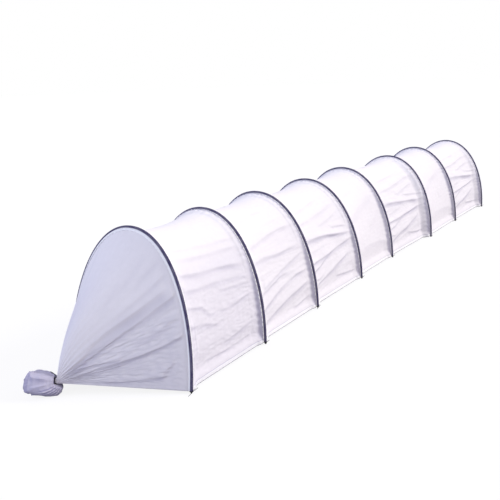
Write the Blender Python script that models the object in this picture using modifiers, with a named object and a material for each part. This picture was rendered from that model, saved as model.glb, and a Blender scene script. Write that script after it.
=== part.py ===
"""Row cover tunnel: eight plastic pipe hoops sewn into a fleece cover, gathered and tied at both ends.

Metres, +Z up. X runs across the tunnel, Y along it from the front end, and Z = 0 is the ground.
Each hoop stands on two end plugs. Between two hoops lies one bay of the cover, with a cord in each
hem, and the bays fold up one by one when the hoops are pushed together.
"""

import math

import bmesh
import bpy
from mathutils import Matrix, Vector

MM = 0.001

# The hoops: driving sizes, then how each hoop differs from them as it stands
HOOP_WIDTH = 1170 * MM
HOOP_HEIGHT = 1000 * MM
HOOP_SPACING = 950 * MM
HOOP_SQUARENESS = 2.07
SPACING_SHARES = (1.0, 0.96, 1.008, 0.897, 1.108, 1.005, 1.105)
WIDTH_SHARES = (1.0, 1.0, 1.005, 1.0, 0.985, 0.975, 0.965, 0.95)
HEIGHT_SHARES = (1.065, 1.025, 1.01, 0.979, 0.975, 0.965, 0.967, 0.937)
SHIFT_SHARES = (0.033, 0.013, -0.017, -0.035, -0.053, 0.003, 0.0, 0.045)
LEAN_DEGREES = (8.4, 2.4, -2.1, -3.5, -3.9, -0.2, -3.5, 0.6)
HOOP_COUNT = len(WIDTH_SHARES)

# The pipe and the plug in each of its ends
PIPE_RADIUS = 10 * MM
PIPE_WALL = 2 * MM
PIPE_SIDES = 8
PLUG_SPIGOT_LENGTH = 30 * MM
PLUG_COLLAR_LENGTH = 6 * MM
PLUG_POINT_LENGTH = 18 * MM
PLUG_SHOULDER = 2 * MM
PLUG_TIP_RADIUS = 2.5 * MM
PLUG_STEPS = 8
CLEARANCE = 0.3 * MM

# The fleece: the cover itself, and the sleeve sewn over each pipe
COVER_THICKNESS = 1.5 * MM
SLEEVE_THICKNESS = 1.2 * MM
SLEEVE_HALF_WIDTH = 26 * MM
SLEEVE_LAP = 2 * MM
SLEEVE_SHOULDER_DEGREES = 30
HEM_HEIGHT = 16 * MM
COVER_SAG = 38 * MM
FOLD_DEPTH = 9 * MM
FOLDS_ROUND_HOOP = 3.0
FOLD_SLANT = 1.3
SAG_FULLNESS = 0.7
BAY_FOLD_SHARES = (0.6, 1.0, 1.0, 0.3, 1.0, 0.3, 1.0)
BAY_COLUMN_SHARES = (0.2, 0.4, 0.6, 0.8)

# The cord in each hem
CORD_RADIUS = 1.75 * MM
CORD_SIDES = 6

# The gathered ends: the neck of each, the pleated cover up to it, and the loose tail beyond it
NECK_AHEAD = 471 * MM
NECK_ASIDE_SHARE = 0.1444
NECK_HEIGHT = 100 * MM
NECK_RADIUS = 18 * MM
NECK_LENGTH = 24 * MM
NECK_SLIT_DEGREES = 10
END_COLUMN_SHARES = (0.25, 0.5, 0.72, 0.9)
END_NOSE_SHARE = 0.22
PLEAT_COUNT = 8
PLEAT_DEPTH = 11 * MM
TAIL_TURN_DEGREES = 58
TAIL_LENGTH = 184 * MM
TAIL_WIDTH = 200 * MM
TAIL_HEIGHT = 158 * MM
TAIL_BELLY = 100 * MM
TAIL_BELLY_FULLNESS = 0.35
TAIL_SWELL_SHARES = (0.55, 0.88, 1.0, 0.97)
TAIL_PLEAT_DEPTH = 7 * MM
TAIL_PLEAT_COUNT = 6
TAIL_SIDES = 24
TAIL_COLUMN_SHARES = (0.12, 0.38, 0.7, 1.0)

# The cord tied round each neck
TIE_TURNS = 2
TIE_STEPS = 24
TIE_PITCH = 4 * MM
TIE_BACK = 3 * MM
TIE_END_LENGTH = 45 * MM
TIE_END_LIFT = 22 * MM

# How finely an arch and an end are cut
ARCH_STEPS = 16
END_STEPS_PER_ARCH_STEP = 2
FINE_STEPS = 720
LEAST_BEND = 1e-9
WELD_DISTANCE = 0.003 * MM
CUT_OVERRUN = 40 * MM
GROUND_CUTTER_DEPTH = 60 * MM

COLOURS = {
    "pipe": ((0.012, 0.011, 0.014), 0.45),
    "plug": ((0.01, 0.01, 0.012), 0.5),
    "fleece": ((0.86, 0.85, 0.9), 0.9),
    "sleeve": ((0.74, 0.72, 0.8), 0.9),
    "cord": ((0.02, 0.02, 0.025), 0.8),
}


def start_clean():
    for old in list(bpy.data.objects):
        bpy.data.objects.remove(old, do_unlink=True)


def new_collection(name, cutters=False):
    made = bpy.data.collections.new(name)
    bpy.context.scene.collection.children.link(made)
    made.hide_render = cutters
    return made


def material(object_name, finish):
    """A material of its own for each object, in the finish that its kind of part has."""
    colour, roughness = COLOURS[finish]
    made = bpy.data.materials.new(f"{object_name}_{finish}")
    made.use_nodes = True
    shader = made.node_tree.nodes["Principled BSDF"]
    shader.inputs["Base Color"].default_value = (*colour, 1)
    shader.inputs["Roughness"].default_value = roughness
    shader.inputs["Metallic"].default_value = 0
    return made


def add_object(name, data, finish, collection):
    made = bpy.data.objects.new(name, data)
    if finish:
        data.materials.append(material(name, finish))
    collection.objects.link(made)
    return made


# The hoops' shape and place


class Hoop:
    """One hoop as it stands: its arch in its own leaning plane, and that plane's place."""

    def __init__(self, index):
        self.half_width = HOOP_WIDTH * WIDTH_SHARES[index] / 2
        self.height = HOOP_HEIGHT * HEIGHT_SHARES[index]
        self.shift = HOOP_WIDTH * SHIFT_SHARES[index]
        self.lean = math.radians(LEAN_DEGREES[index])
        self.y = HOOP_SPACING * sum(SPACING_SHARES[:index])
        self.arch = self.cut_arch()

    def on_arch(self, angle):
        power = 2 / HOOP_SQUARENESS
        across = math.copysign(abs(math.cos(angle)) ** power, math.cos(angle))
        return Vector((self.half_width * across, self.height * math.sin(angle) ** power))

    def cut_arch(self):
        """Points from the right hem over the crown to the left hem, closer where the arch bends more."""
        first = math.asin((HEM_HEIGHT / self.height) ** (HOOP_SQUARENESS / 2))
        sweep = math.pi - 2 * first
        fine = [self.on_arch(first + sweep * n / FINE_STEPS) for n in range(FINE_STEPS + 1)]
        run = [0]
        for n in range(FINE_STEPS):
            before, after = fine[max(n - 1, 0)], fine[min(n + 2, FINE_STEPS)]
            bend = (fine[n] - before).angle(after - fine[n + 1], 0) if 0 < n < FINE_STEPS - 1 else 0
            run.append(run[-1] + math.sqrt((fine[n + 1] - fine[n]).length * max(bend, LEAST_BEND)))
        points = []
        at = 0
        for n in range(ARCH_STEPS + 1):
            wanted = run[-1] * n / ARCH_STEPS
            while at < FINE_STEPS - 1 and run[at + 1] < wanted:
                at += 1
            part = (wanted - run[at]) / (run[at + 1] - run[at])
            points.append(fine[at].lerp(fine[at + 1], min(part, 1)))
        return points

    def outward(self, step):
        """The direction in the hoop's plane that points away from the tunnel's inside."""
        before = self.arch[max(step - 1, 0)]
        after = self.arch[min(step + 1, ARCH_STEPS)]
        along = (after - before).normalized()
        return Vector((along.y, -along.x))

    def place(self, flat, along=0):
        """A point of the hoop's plane, moved along the tunnel square to that plane, in the world."""
        up = Vector((0, math.sin(self.lean), math.cos(self.lean)))
        square = Vector((0, math.cos(self.lean), -math.sin(self.lean)))
        foot = Vector((self.shift, self.y, 0))
        return foot + Vector((flat.x, 0, 0)) + up * flat.y + square * along

    def at(self, step, along=0, out=0):
        """The place at one arch step, with an offset along the tunnel and one outward."""
        return self.place(self.arch[step] + self.outward(step) * out, along)

    def at_share(self, share, along=0, out=0):
        """As at, for a share of the whole arch, on the straight line between two steps."""
        step = min(int(share * ARCH_STEPS), ARCH_STEPS - 1)
        part = share * ARCH_STEPS - step
        return self.at(step, along, out).lerp(self.at(step + 1, along, out), part)

    def pipe_end(self, left, height):
        """The point at a height on the straight stretch of pipe next to a foot."""
        low, high = (self.arch[-1], self.arch[-2]) if left else (self.arch[0], self.arch[1])
        return low.lerp(high, (height - low.y) / (high.y - low.y))


HOOPS = [Hoop(index) for index in range(HOOP_COUNT)]


# Shapes


def sheet(name, rows, thickness, finish, collection, wrap=False):
    """Cloth: an open surface through rows of points, with its thickness on the side behind it."""
    made = bmesh.new()
    grid = [[made.verts.new(point) for point in row] for row in rows]
    rounds = list(zip(grid, grid[1:] + grid[:1] if wrap else grid[1:]))
    for one, other in rounds:
        for n in range(len(one) - 1):
            made.faces.new((one[n], one[n + 1], other[n + 1], other[n]))
    mesh = bpy.data.meshes.new(name)
    made.to_mesh(mesh)
    made.free()
    mesh.shade_smooth()
    cloth = add_object(name, mesh, finish, collection)
    solid = cloth.modifiers.new("thickness", "SOLIDIFY")
    solid.thickness = thickness
    solid.offset = -1
    solid.use_even_offset = True
    return cloth


def tube(name, points, radius, sides, finish, collection):
    """A round bar along a line of points, with its two ends closed."""
    curve = bpy.data.curves.new(name, "CURVE")
    curve.dimensions = "3D"
    curve.bevel_depth = radius
    curve.bevel_resolution = sides // 2 - 2
    curve.use_fill_caps = True
    spline = curve.splines.new("POLY")
    spline.points.add(len(points) - 1)
    for point, place in zip(spline.points, points):
        point.co = (*place, 1)
    return add_object(name, curve, finish, collection)


def as_mesh(curve_object, finish):
    """The same tube as a mesh with its caps joined on, in place of the curve."""
    bpy.context.view_layer.update()
    seen = curve_object.evaluated_get(bpy.context.evaluated_depsgraph_get())
    mesh = bpy.data.meshes.new_from_object(seen)
    welded = bmesh.new()
    welded.from_mesh(mesh)
    bmesh.ops.remove_doubles(welded, verts=welded.verts, dist=WELD_DISTANCE)
    welded.to_mesh(mesh)
    welded.free()
    name = curve_object.name
    home = curve_object.users_collection[0]
    place = curve_object.matrix_world.copy()
    bpy.data.objects.remove(curve_object, do_unlink=True)
    mesh.materials.clear()
    made = add_object(name, mesh, finish, home)
    made.matrix_world = place
    return made


def cut(target, cutter):
    """Takes the cutter's shape out of the target."""
    cutter.hide_render = True
    cutter.display_type = "WIRE"
    difference = target.modifiers.new("cut", "BOOLEAN")
    difference.operation = "DIFFERENCE"
    difference.solver = "EXACT"
    difference.object = cutter


# The parts


def add_pipe(index, parts, cutters):
    """A bent length of pipe, open at both ends where its plugs go in."""
    hoop = HOOPS[index]
    end_height = PLUG_POINT_LENGTH + PLUG_COLLAR_LENGTH + CLEARANCE
    ends = [hoop.pipe_end(left, end_height) for left in (False, True)]
    past = [hoop.pipe_end(left, end_height - CUT_OVERRUN) for left in (False, True)]
    middle = hoop.arch[1:-1]
    line = [hoop.place(p) for p in (ends[0], *middle, ends[1])]
    longer = [hoop.place(p) for p in (past[0], *middle, past[1])]
    bore_radius = (PIPE_RADIUS - PIPE_WALL) / math.cos(math.pi / PIPE_SIDES)
    pipe = tube(f"hoop_{index + 1}", line, PIPE_RADIUS, PIPE_SIDES, None, parts)
    bore = tube(f"bore_{index + 1}", longer, bore_radius, PIPE_SIDES, None, cutters)
    pipe = as_mesh(pipe, "pipe")
    pipe.data.shade_smooth()
    cut(pipe, as_mesh(bore, None))


def plug_mesh(name):
    """The plug's outline in (radius, height), from its hidden point up to the top of its spigot."""
    point_end = -PLUG_COLLAR_LENGTH - PLUG_POINT_LENGTH
    neck_radius = PIPE_RADIUS - PLUG_SHOULDER
    slope = (neck_radius - PLUG_TIP_RADIUS) / PLUG_POINT_LENGTH
    below = PLUG_TIP_RADIUS / slope
    spigot_radius = PIPE_RADIUS - PIPE_WALL - CLEARANCE
    outline = (
        (0, PLUG_SPIGOT_LENGTH),
        (spigot_radius, PLUG_SPIGOT_LENGTH),
        (spigot_radius, 0),
        (PIPE_RADIUS, 0),
        (PIPE_RADIUS, -PLUG_COLLAR_LENGTH),
        (neck_radius, -PLUG_COLLAR_LENGTH),
        (0, point_end - below),
    )
    mesh = bpy.data.meshes.new(name)
    edges = [(n, n + 1) for n in range(len(outline) - 1)]
    mesh.from_pydata([(radius, 0, height) for radius, height in outline], edges, [])
    return mesh


def add_plug(index, left, parts, ground):
    """The plug in one pipe end, in line with the pipe and cut off level at the ground."""
    hoop = HOOPS[index]
    side = "left" if left else "right"
    seat = hoop.pipe_end(left, PLUG_POINT_LENGTH + PLUG_COLLAR_LENGTH)
    above = hoop.arch[-2] if left else hoop.arch[1]
    name = f"end_plug_{side}_{index + 1}"
    plug = add_object(name, plug_mesh(name), "plug", parts)
    turn = plug.modifiers.new("turned", "SCREW")
    turn.axis = "Z"
    turn.steps = PLUG_STEPS
    turn.render_steps = PLUG_STEPS
    turn.use_merge_vertices = True
    turn.merge_threshold = WELD_DISTANCE
    upward = (hoop.place(above) - hoop.place(seat)).normalized()
    aim = upward.to_track_quat("Z", "Y").to_matrix().to_4x4()
    plug.matrix_world = Matrix.Translation(hoop.place(seat)) @ aim
    cut(plug, ground)


def add_ground_cutter(cutters):
    """A block under the ground, which levels what stands on it."""
    length = HOOPS[-1].y + HOOP_SPACING * 2
    bpy.ops.mesh.primitive_cube_add(size=1, location=(0, HOOPS[-1].y / 2, -GROUND_CUTTER_DEPTH / 2))
    block = bpy.context.object
    block.name = "ground_cutter"
    block.scale = (HOOP_WIDTH * 2, length, GROUND_CUTTER_DEPTH)
    for home in list(block.users_collection):
        home.objects.unlink(block)
    cutters.objects.link(block)
    return block


def add_sleeve(index, parts):
    """The fleece channel round one pipe, with a flat strip each side that is sewn to the cover."""
    hoop = HOOPS[index]
    wall = PIPE_RADIUS + CLEARANCE
    shoulder = wall * math.tan(math.radians(SLEEVE_SHOULDER_DEGREES))
    crown = wall / math.cos(math.radians(SLEEVE_SHOULDER_DEGREES))
    section = (
        (-SLEEVE_HALF_WIDTH, -PIPE_RADIUS),
        (-wall, -PIPE_RADIUS),
        (-wall, shoulder),
        (0, crown),
        (wall, shoulder),
        (wall, -PIPE_RADIUS),
        (SLEEVE_HALF_WIDTH, -PIPE_RADIUS),
    )
    steps = range(ARCH_STEPS, -1, -1)
    rows = [[hoop.at(step, along, out) for along, out in section] for step in steps]
    sheet(f"sleeve_{index + 1}", rows, SLEEVE_THICKNESS, "sleeve", parts)


def cover_out():
    """How far the cover's outer face lies from a pipe's centre line, towards the inside."""
    return -(PIPE_RADIUS + CLEARANCE)


def add_bay(index, parts):
    """The cover between two hoops: flat under the sleeves, and sagging in slanting folds between."""
    near, far = HOOPS[index], HOOPS[index + 1]
    lap = SLEEVE_HALF_WIDTH + SLEEVE_LAP
    rows = []
    for step in range(ARCH_STEPS + 1):
        share = step / ARCH_STEPS
        start = near.at(step, lap, cover_out())
        end = far.at(step, -lap, cover_out())
        inward = -(near.outward(step) + far.outward(step)).normalized()
        row = [near.at(step, CLEARANCE / 2, cover_out()), start]
        for part in BAY_COLUMN_SHARES:
            slack = 4 * part * (1 - part)
            hang = math.sin(math.pi * share) ** SAG_FULLNESS * slack
            wave = math.sin(2 * math.pi * (FOLDS_ROUND_HOOP * share + FOLD_SLANT * part))
            fold = FOLD_DEPTH * BAY_FOLD_SHARES[index] * wave * hang
            deep = COVER_SAG * hang + fold
            row.append(start.lerp(end, part) + Vector((inward.x, 0, inward.y)) * deep)
        row += [end, far.at(step, -CLEARANCE / 2, cover_out())]
        rows.append(row)
    sheet(f"cover_bay_{index + 1}", rows, COVER_THICKNESS, "fleece", parts)
    return rows


def add_hem_cords(index, rows, parts):
    """The cord along the lower edge of one bay, on each side."""
    drop = 2 * CLEARANCE + CORD_RADIUS
    for side, row, inward in (("right", rows[0], -1), ("left", rows[-1], 1)):
        under = Vector((inward * COVER_THICKNESS / 2, 0, -drop))
        points = [point + under for point in (*row[:2], *row[-2:])]
        tube(f"hem_cord_{side}_{index + 1}", points, CORD_RADIUS, CORD_SIDES, "cord", parts)


class End:
    """One gathered end: which hoop it hangs from, which way it points, and its neck."""

    def __init__(self, word):
        front = word == "front"
        self.word = word
        self.hoop = HOOPS[0] if front else HOOPS[-1]
        self.way = -1 if front else 1
        turn = math.radians(TAIL_TURN_DEGREES)
        self.axis = Vector((-math.sin(turn), self.way * math.cos(turn), 0))
        self.across = Vector((math.cos(turn), self.way * math.sin(turn), 0))
        aside = HOOP_WIDTH * NECK_ASIDE_SHARE
        self.neck = Vector((-aside, self.hoop.y + self.way * NECK_AHEAD, NECK_HEIGHT))

    def round_neck(self, share, radius, along):
        """A point round the neck, from the right hem below, over the top, to the left hem."""
        slit = math.radians(NECK_SLIT_DEGREES)
        angle = slit / 2 - math.pi / 2 + (2 * math.pi - slit) * share
        ring = self.across * math.cos(angle) + Vector((0, 0, 1)) * math.sin(angle)
        return self.neck + ring * radius + self.axis * along


def add_end_panel(end, parts):
    """The cover beyond the last hoop, drawn in to its neck in pleats."""
    hoop, way = end.hoop, end.way
    lap = SLEEVE_HALF_WIDTH + SLEEVE_LAP
    count = ARCH_STEPS * END_STEPS_PER_ARCH_STEP
    rows = []
    for n in range(count + 1):
        share = n / count
        start = hoop.at_share(share, way * lap, cover_out())
        finish = end.round_neck(share, NECK_RADIUS, -NECK_LENGTH / 2)
        row = [hoop.at_share(share, way * CLEARANCE / 2, cover_out()), start]
        middle = hoop.place(Vector((0, hoop.height / 2)))
        for part in END_COLUMN_SHARES:
            nose = END_NOSE_SHARE * math.sin(math.pi * part) * math.sin(math.pi * share)
            flat = start.lerp(finish, part)
            reach = min(part + nose * part, 1)
            point = start.lerp(finish, reach)
            point.z = flat.z
            out = (flat - middle.lerp(end.neck, part)).normalized()
            shade = math.sin(math.pi * part) * math.sin(math.pi * share) ** 0.5
            pleat = PLEAT_DEPTH * math.cos(2 * math.pi * PLEAT_COUNT * share) * shade
            row.append(point + out * pleat)
        row += [finish, end.round_neck(share, NECK_RADIUS, -CLEARANCE / 2)]
        rows.append(row)
    if way < 0:
        rows.reverse()
    sheet(f"{end.word}_end_panel", rows, COVER_THICKNESS, "fleece", parts)


def add_tail(end, parts):
    """The loose bunch of cover beyond the neck: it swells at once and rests on the ground."""
    rows = []
    for n in range(TAIL_SIDES):
        angle = 2 * math.pi * n / TAIL_SIDES - math.pi / 2
        aside, upward = math.cos(angle), math.sin(angle)
        ring = end.across * aside + Vector((0, 0, 1)) * upward
        row = [end.neck + ring * NECK_RADIUS + end.axis * d for d in (CLEARANCE / 2, NECK_LENGTH / 2)]
        for part, swell in zip(TAIL_COLUMN_SHARES, TAIL_SWELL_SHARES):
            pleat = TAIL_PLEAT_DEPTH * math.cos(TAIL_PLEAT_COUNT * angle) * swell
            wide = TAIL_WIDTH / 2 * swell + pleat
            high = TAIL_HEIGHT / 2 * swell + pleat
            belly = TAIL_BELLY * max(-upward, 0) * math.sin(math.pi * part) ** TAIL_BELLY_FULLNESS
            centre = end.neck + end.axis * (NECK_LENGTH / 2 + TAIL_LENGTH * part - belly)
            centre.z += (TAIL_HEIGHT / 2 - NECK_HEIGHT) * swell
            point = centre + end.across * wide * aside + Vector((0, 0, high * upward))
            point.z = max(point.z, CLEARANCE)
            row.append(point)
        rows.append(row)
    if end.way < 0:
        rows.reverse()
    sheet(f"{end.word}_tail", rows, COVER_THICKNESS, "fleece", parts, wrap=True)


def add_tie(end, parts):
    """The cord wound round the neck, with its two loose ends standing off it."""
    radius = NECK_RADIUS + CLEARANCE + CORD_RADIUS
    points = []
    steps = TIE_TURNS * TIE_STEPS
    for n in range(steps + 1):
        angle = 2 * math.pi * n / TIE_STEPS + math.pi / 2
        ring = end.across * math.cos(angle) + Vector((0, 0, 1)) * math.sin(angle)
        along = TIE_PITCH * (n / TIE_STEPS - TIE_TURNS / 2) - TIE_BACK
        points.append(end.neck + ring * radius + end.axis * along)
    lift = Vector((0, 0, TIE_END_LIFT))
    first = points[0] + end.across * TIE_END_LENGTH + lift
    last = points[-1] - end.across * TIE_END_LENGTH + lift
    route = [first, *points, last]
    print(f"{end.word}_tie_cord: least gap to itself {least_gap(route) / MM:.2f} mm")
    tube(f"{end.word}_tie_cord", route, CORD_RADIUS, CORD_SIDES, "cord", parts)


def least_gap(route):
    """The least free distance between stretches of one cord that aren't next to each other."""
    apart = 2 * CORD_RADIUS * math.pi
    run = [0]
    for one, other in zip(route, route[1:]):
        run.append(run[-1] + (other - one).length)
    pairs = ((a, b) for a in range(len(route)) for b in range(a) if run[a] - run[b] > apart)
    return min((route[a] - route[b]).length for a, b in pairs) - 2 * CORD_RADIUS


def add_station(index, base):
    """The empty under one hoop, which its pipe, sleeve, plugs and the bay behind it hang on."""
    station = bpy.data.objects.new(f"station_{index + 1}", None)
    station.location = (HOOPS[index].shift, HOOPS[index].y, 0)
    station.parent = base
    base.users_collection[0].objects.link(station)
    return station


def hang(pieces, station):
    """Parents pieces to a station where they are."""
    bpy.context.view_layer.update()
    for piece in pieces:
        place = piece.matrix_world.copy()
        piece.parent = station
        piece.matrix_parent_inverse = station.matrix_world.inverted()
        piece.matrix_world = place


def stand_on_origin(base, parts):
    """Moves everything so that the origin is on the ground under the middle."""
    bpy.context.view_layer.update()
    graph = bpy.context.evaluated_depsgraph_get()
    points = []
    for part in parts.objects:
        if part.type != "EMPTY":
            seen = part.evaluated_get(graph)
            points += [seen.matrix_world @ vertex.co for vertex in seen.to_mesh().vertices]
            seen.to_mesh_clear()
    middle = [(min(p[axis] for p in points) + max(p[axis] for p in points)) / 2 for axis in (0, 1)]
    base.location = (-middle[0], -middle[1], 0)


def main():
    start_clean()
    parts = new_collection("row_cover_tunnel")
    cutters = new_collection("cutters", cutters=True)
    base = bpy.data.objects.new("tunnel_base", None)
    parts.objects.link(base)
    ground = add_ground_cutter(cutters)
    ground.parent = base
    for index in range(HOOP_COUNT):
        station = add_station(index, base)
        before = {*parts.objects, *cutters.objects}
        add_pipe(index, parts, cutters)
        for left in (False, True):
            add_plug(index, left, parts, ground)
        add_sleeve(index, parts)
        if index < HOOP_COUNT - 1:
            rows = add_bay(index, parts)
            add_hem_cords(index, rows, parts)
        if index in (0, HOOP_COUNT - 1):
            end = End("front" if index == 0 else "back")
            add_end_panel(end, parts)
            add_tail(end, parts)
            add_tie(end, parts)
        hang({*parts.objects, *cutters.objects} - before, station)
    stand_on_origin(base, parts)


main()
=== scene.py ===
"""Dresses the row cover tunnel: bent pipes in sewn fleece, gathered and tied at both ends."""

import math

import bpy
import numpy as np
from bpy.props import FloatProperty, FloatVectorProperty, IntProperty, PointerProperty
from mathutils import Matrix, Vector


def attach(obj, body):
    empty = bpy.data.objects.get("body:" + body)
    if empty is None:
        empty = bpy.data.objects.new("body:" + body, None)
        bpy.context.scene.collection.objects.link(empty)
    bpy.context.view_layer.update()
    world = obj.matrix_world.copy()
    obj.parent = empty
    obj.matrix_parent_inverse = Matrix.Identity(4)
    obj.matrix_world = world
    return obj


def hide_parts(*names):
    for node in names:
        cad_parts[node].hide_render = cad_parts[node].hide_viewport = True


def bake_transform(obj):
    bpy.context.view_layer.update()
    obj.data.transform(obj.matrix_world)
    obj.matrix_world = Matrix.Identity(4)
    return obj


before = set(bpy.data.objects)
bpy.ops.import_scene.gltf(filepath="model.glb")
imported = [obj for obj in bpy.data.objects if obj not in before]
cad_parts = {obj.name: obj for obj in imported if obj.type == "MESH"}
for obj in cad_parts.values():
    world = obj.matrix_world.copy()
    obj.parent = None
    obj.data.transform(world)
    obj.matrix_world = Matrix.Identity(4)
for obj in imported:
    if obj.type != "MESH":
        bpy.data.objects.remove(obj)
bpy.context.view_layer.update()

bl_info = {
    "name": "Row cover tunnel",
    "version": (1, 0, 0),
    "blender": (4, 5, 0),
    "location": "3D View > Sidebar > Tunnel",
    "description": "Models a fleece tunnel on bent pipe hoops, with both ends gathered and tied",
    "category": "Add Mesh",
}

MM = 0.001

# How each hoop stands, from the front one back: its width and height as shares, its shift across
# the tunnel and its place along it in metres, and its lean backwards in degrees
HOOP_TABLE = (
    (1.0, 1.065, 0.0459, -3.3644, 8.4),
    (1.0, 1.025, 0.0225, -2.4144, 2.4),
    (1.005, 1.01, -0.0126, -1.5024, -2.1),
    (1.0, 0.979, -0.0336, -0.5448, -3.5),
    (0.985, 0.975, -0.0547, 0.3073, -3.9),
    (0.975, 0.965, 0.0108, 1.3599, -0.2),
    (0.965, 0.967, 0.0073, 2.3147, -3.5),
    (0.95, 0.937, 0.06, 3.3644, 0.6),
)
HOOP_COUNT = len(HOOP_TABLE)
# The sides of the tunnel, and whether each is the left one
SIDES = (("right", False), ("left", True))
# Points of each piece of cloth up the arch, or round a tail, and of each turn of a neck tie
SLEEVE_ROWS, BAY_ROWS, END_ROWS, TAIL_ROWS, TURN_STEPS = 330, 341, 361, 320, 28


def colour(hex_text):
    """Linear RGB from an sRGB hex value."""
    parts = [int(hex_text[n : n + 2], 16) / 255 for n in (1, 3, 5)]
    return tuple(c / 12.92 if c <= 0.04045 else ((c + 0.055) / 1.055) ** 2.4 for c in parts)


def length(name, description, default, least=0.0):
    """A length in metres that a user can change."""
    return FloatProperty(
        name=name, description=description, default=default, min=least, subtype="DISTANCE", unit="LENGTH"
    )


def number(name, description, default, least=0.0, most=1.0):
    """A plain number that a user can change."""
    return FloatProperty(name=name, description=description, default=default, min=least, max=most)


def tint(name, description, hex_text):
    """A colour that a user can change."""
    return FloatVectorProperty(
        name=name, description=description, default=colour(hex_text), subtype="COLOR", min=0, max=1
    )


class TunnelHoops(bpy.types.PropertyGroup):
    """Sizes of the bent pipes and of the plugs in their ends."""

    width: length("Width", "From foot to foot of a hoop of share 1", 1.17)
    height: length("Height", "From the ground to the crown of a hoop of share 1", 1.0)
    squareness: number("Squareness", "2 is an ellipse, more is a squarer arch", 2.07, 1.5, 4)
    pipe_radius: length("Pipe radius", "Outer radius of the pipe", 10 * MM)
    plug_collar: length("Plug collar", "Height of the plug's collar under the pipe", 6 * MM)
    plug_point: length("Plug point", "Height of the plug's point over the ground", 18 * MM)
    plug_neck: length("Plug neck", "Radius where the point begins", 8 * MM)


class TunnelCover(bpy.types.PropertyGroup):
    """Sizes of the fleece between the hoops and of the sleeves over them."""

    thickness: length("Fleece thickness", "Thickness of one layer of fleece", 0.5 * MM)
    hem_height: length("Hem height", "From the ground to the hem", 16 * MM)
    sleeve_half: length("Sleeve half width", "From the pipe's middle to its sewn strip's edge", 26 * MM)
    strip_rise: length("Strip rise", "Height of the sewn strips over the pipe's underside", 3.5 * MM)
    lap: length("Lap", "From the pipe's middle to where the free cloth begins", 28 * MM)
    sag: length("Sag", "How far the cloth hangs in, halfway between two hoops at the crown", 38 * MM)
    riser: length("Riser", "How far the cloth steps in beside a hoop, low down", 25 * MM)
    riser_run: length("Riser run", "How far along the tunnel most of that step reaches", 9 * MM)
    inset: length("Inset", "How far the cloth stays inside the hoops, to fold up under them", 12 * MM)
    skirt: length("Skirt", "How far the cloth flares out again below, down to its hem", 14 * MM)
    fold_height: length("Fold height", "Height of a fold of share 1", 11 * MM)
    fold_width: length("Fold width", "Width of a fold of share 1", 34 * MM)
    streak_depth: length("Streak depth", "Height of the fine creases that run with the folds", 2.2 * MM)
    crumple_depth: length("Crumple depth", "Height of the crumples from packing", 2.6 * MM)
    gather_depth: length("Gather depth", "Height of the small gathers beside a sleeve", 4 * MM)
    hem_strip: length("Hem strip", "Width of the hem's sewn strip", 26 * MM)
    hem_radius: length("Hem radius", "Radius of the hem rolled round its cord", 3.2 * MM)
    cord_radius: length("Cord radius", "Radius of the hem and tie cords", 1.75 * MM)


class TunnelEnds(bpy.types.PropertyGroup):
    """Sizes of the gathered ends."""

    ahead: length("Neck ahead", "From the end hoop's foot to the neck, along the tunnel", 0.471)
    aside: length("Neck aside", "From the feet's middle line to the neck, across the tunnel", 0.16895)
    height: length("Neck height", "From the ground to the neck's middle", 0.1)
    radius: length("Neck radius", "Radius of the bunch inside its tie", 18 * MM)
    neck: length("Neck length", "Length of the tight bunch", 24 * MM)
    nose: number("Nose", "How full the end is as it closes", 0.22)
    tail: length("Tail length", "Length of the loose cloth past the neck", 0.184)
    tail_width: length("Tail width", "Width of the loose cloth", 0.2)
    tail_height: length("Tail height", "Height of the loose cloth", 0.158)
    belly: length("Tail belly", "How far the loose cloth falls back under the neck", 0.1)
    turns: IntProperty(name="Tie turns", description="Turns of cord round a neck", default=2, min=1, max=6)


class TunnelLooks(bpy.types.PropertyGroup):
    """Colours of the finishes."""

    fleece: tint("Fleece", "White non-woven cover, one layer", "#EEEAEF")
    sewn: tint("Sewn fleece", "The same in sewn strips, two layers and more", "#FBFAFC")
    # painted shade: a lilac grey painted on the fleece where shade falls, in folds, on the steps beside the
    # hoops, in crumples, at the ends and in the tails
    painted_shade: tint("Greyed fleece", "The same where it lies on the ground or is bunched", "#9F9BBC")
    over_pipe: tint("Fleece over pipe", "Thin fleece drawn tight on black pipe", "#3B355A")
    pipe: tint("Pipe", "Black polyethylene pipe", "#2A2833")
    plug: tint("Plug", "Black moulded plug", "#1C1B20")
    cord: tint("Cord", "Dark braided cord", "#1B1A1F")
    floor: tint("Floor", "Pale studio floor", "#A09EA6")


# Smooth noise and small vector helpers, all on arrays


class Crumple:
    """Smooth seeded noise over a plane, from a table of random slopes."""

    def __init__(self, seed):
        turns = np.random.default_rng(seed).uniform(0, 2 * math.pi, (256, 256))
        self.slopes = np.stack((np.cos(turns), np.sin(turns)), axis=-1)

    def __call__(self, x, y):
        x, y = np.broadcast_arrays(np.asarray(x, float), np.asarray(y, float))
        cell_x, cell_y = np.floor(x).astype(int), np.floor(y).astype(int)
        fx, fy = x - cell_x, y - cell_y
        sx, sy = (f * f * f * (f * (f * 6 - 15) + 10) for f in (fx, fy))
        total = 0
        for ix, wx in ((0, 1 - sx), (1, sx)):
            for iy, wy in ((0, 1 - sy), (1, sy)):
                slope = self.slopes[(cell_x + ix) % 256, (cell_y + iy) % 256]
                total = total + wx * wy * (slope[..., 0] * (fx - ix) + slope[..., 1] * (fy - iy))
        return total * 1.4

    def creased(self, x, y):
        """The same noise folded over at zero, which gives sharp creases between soft facets."""
        return 1 - 2 * np.abs(self(x, y))

    def paper(self, x, y):
        """Creases of three sizes, as cloth keeps from being packed small."""
        total, share = 0, 1
        for n in range(3):
            total = total + share * self.creased(x * 1.9**n + 7.3 * n, y * 1.9**n - 3.1 * n)
            share *= 0.55
        return total


def smooth(values, low=0.0, high=1.0):
    """0 below low, 1 above high, with a soft start and end."""
    t = np.clip((values - low) / (high - low), 0, 1)
    return t * t * (3 - 2 * t)


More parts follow.
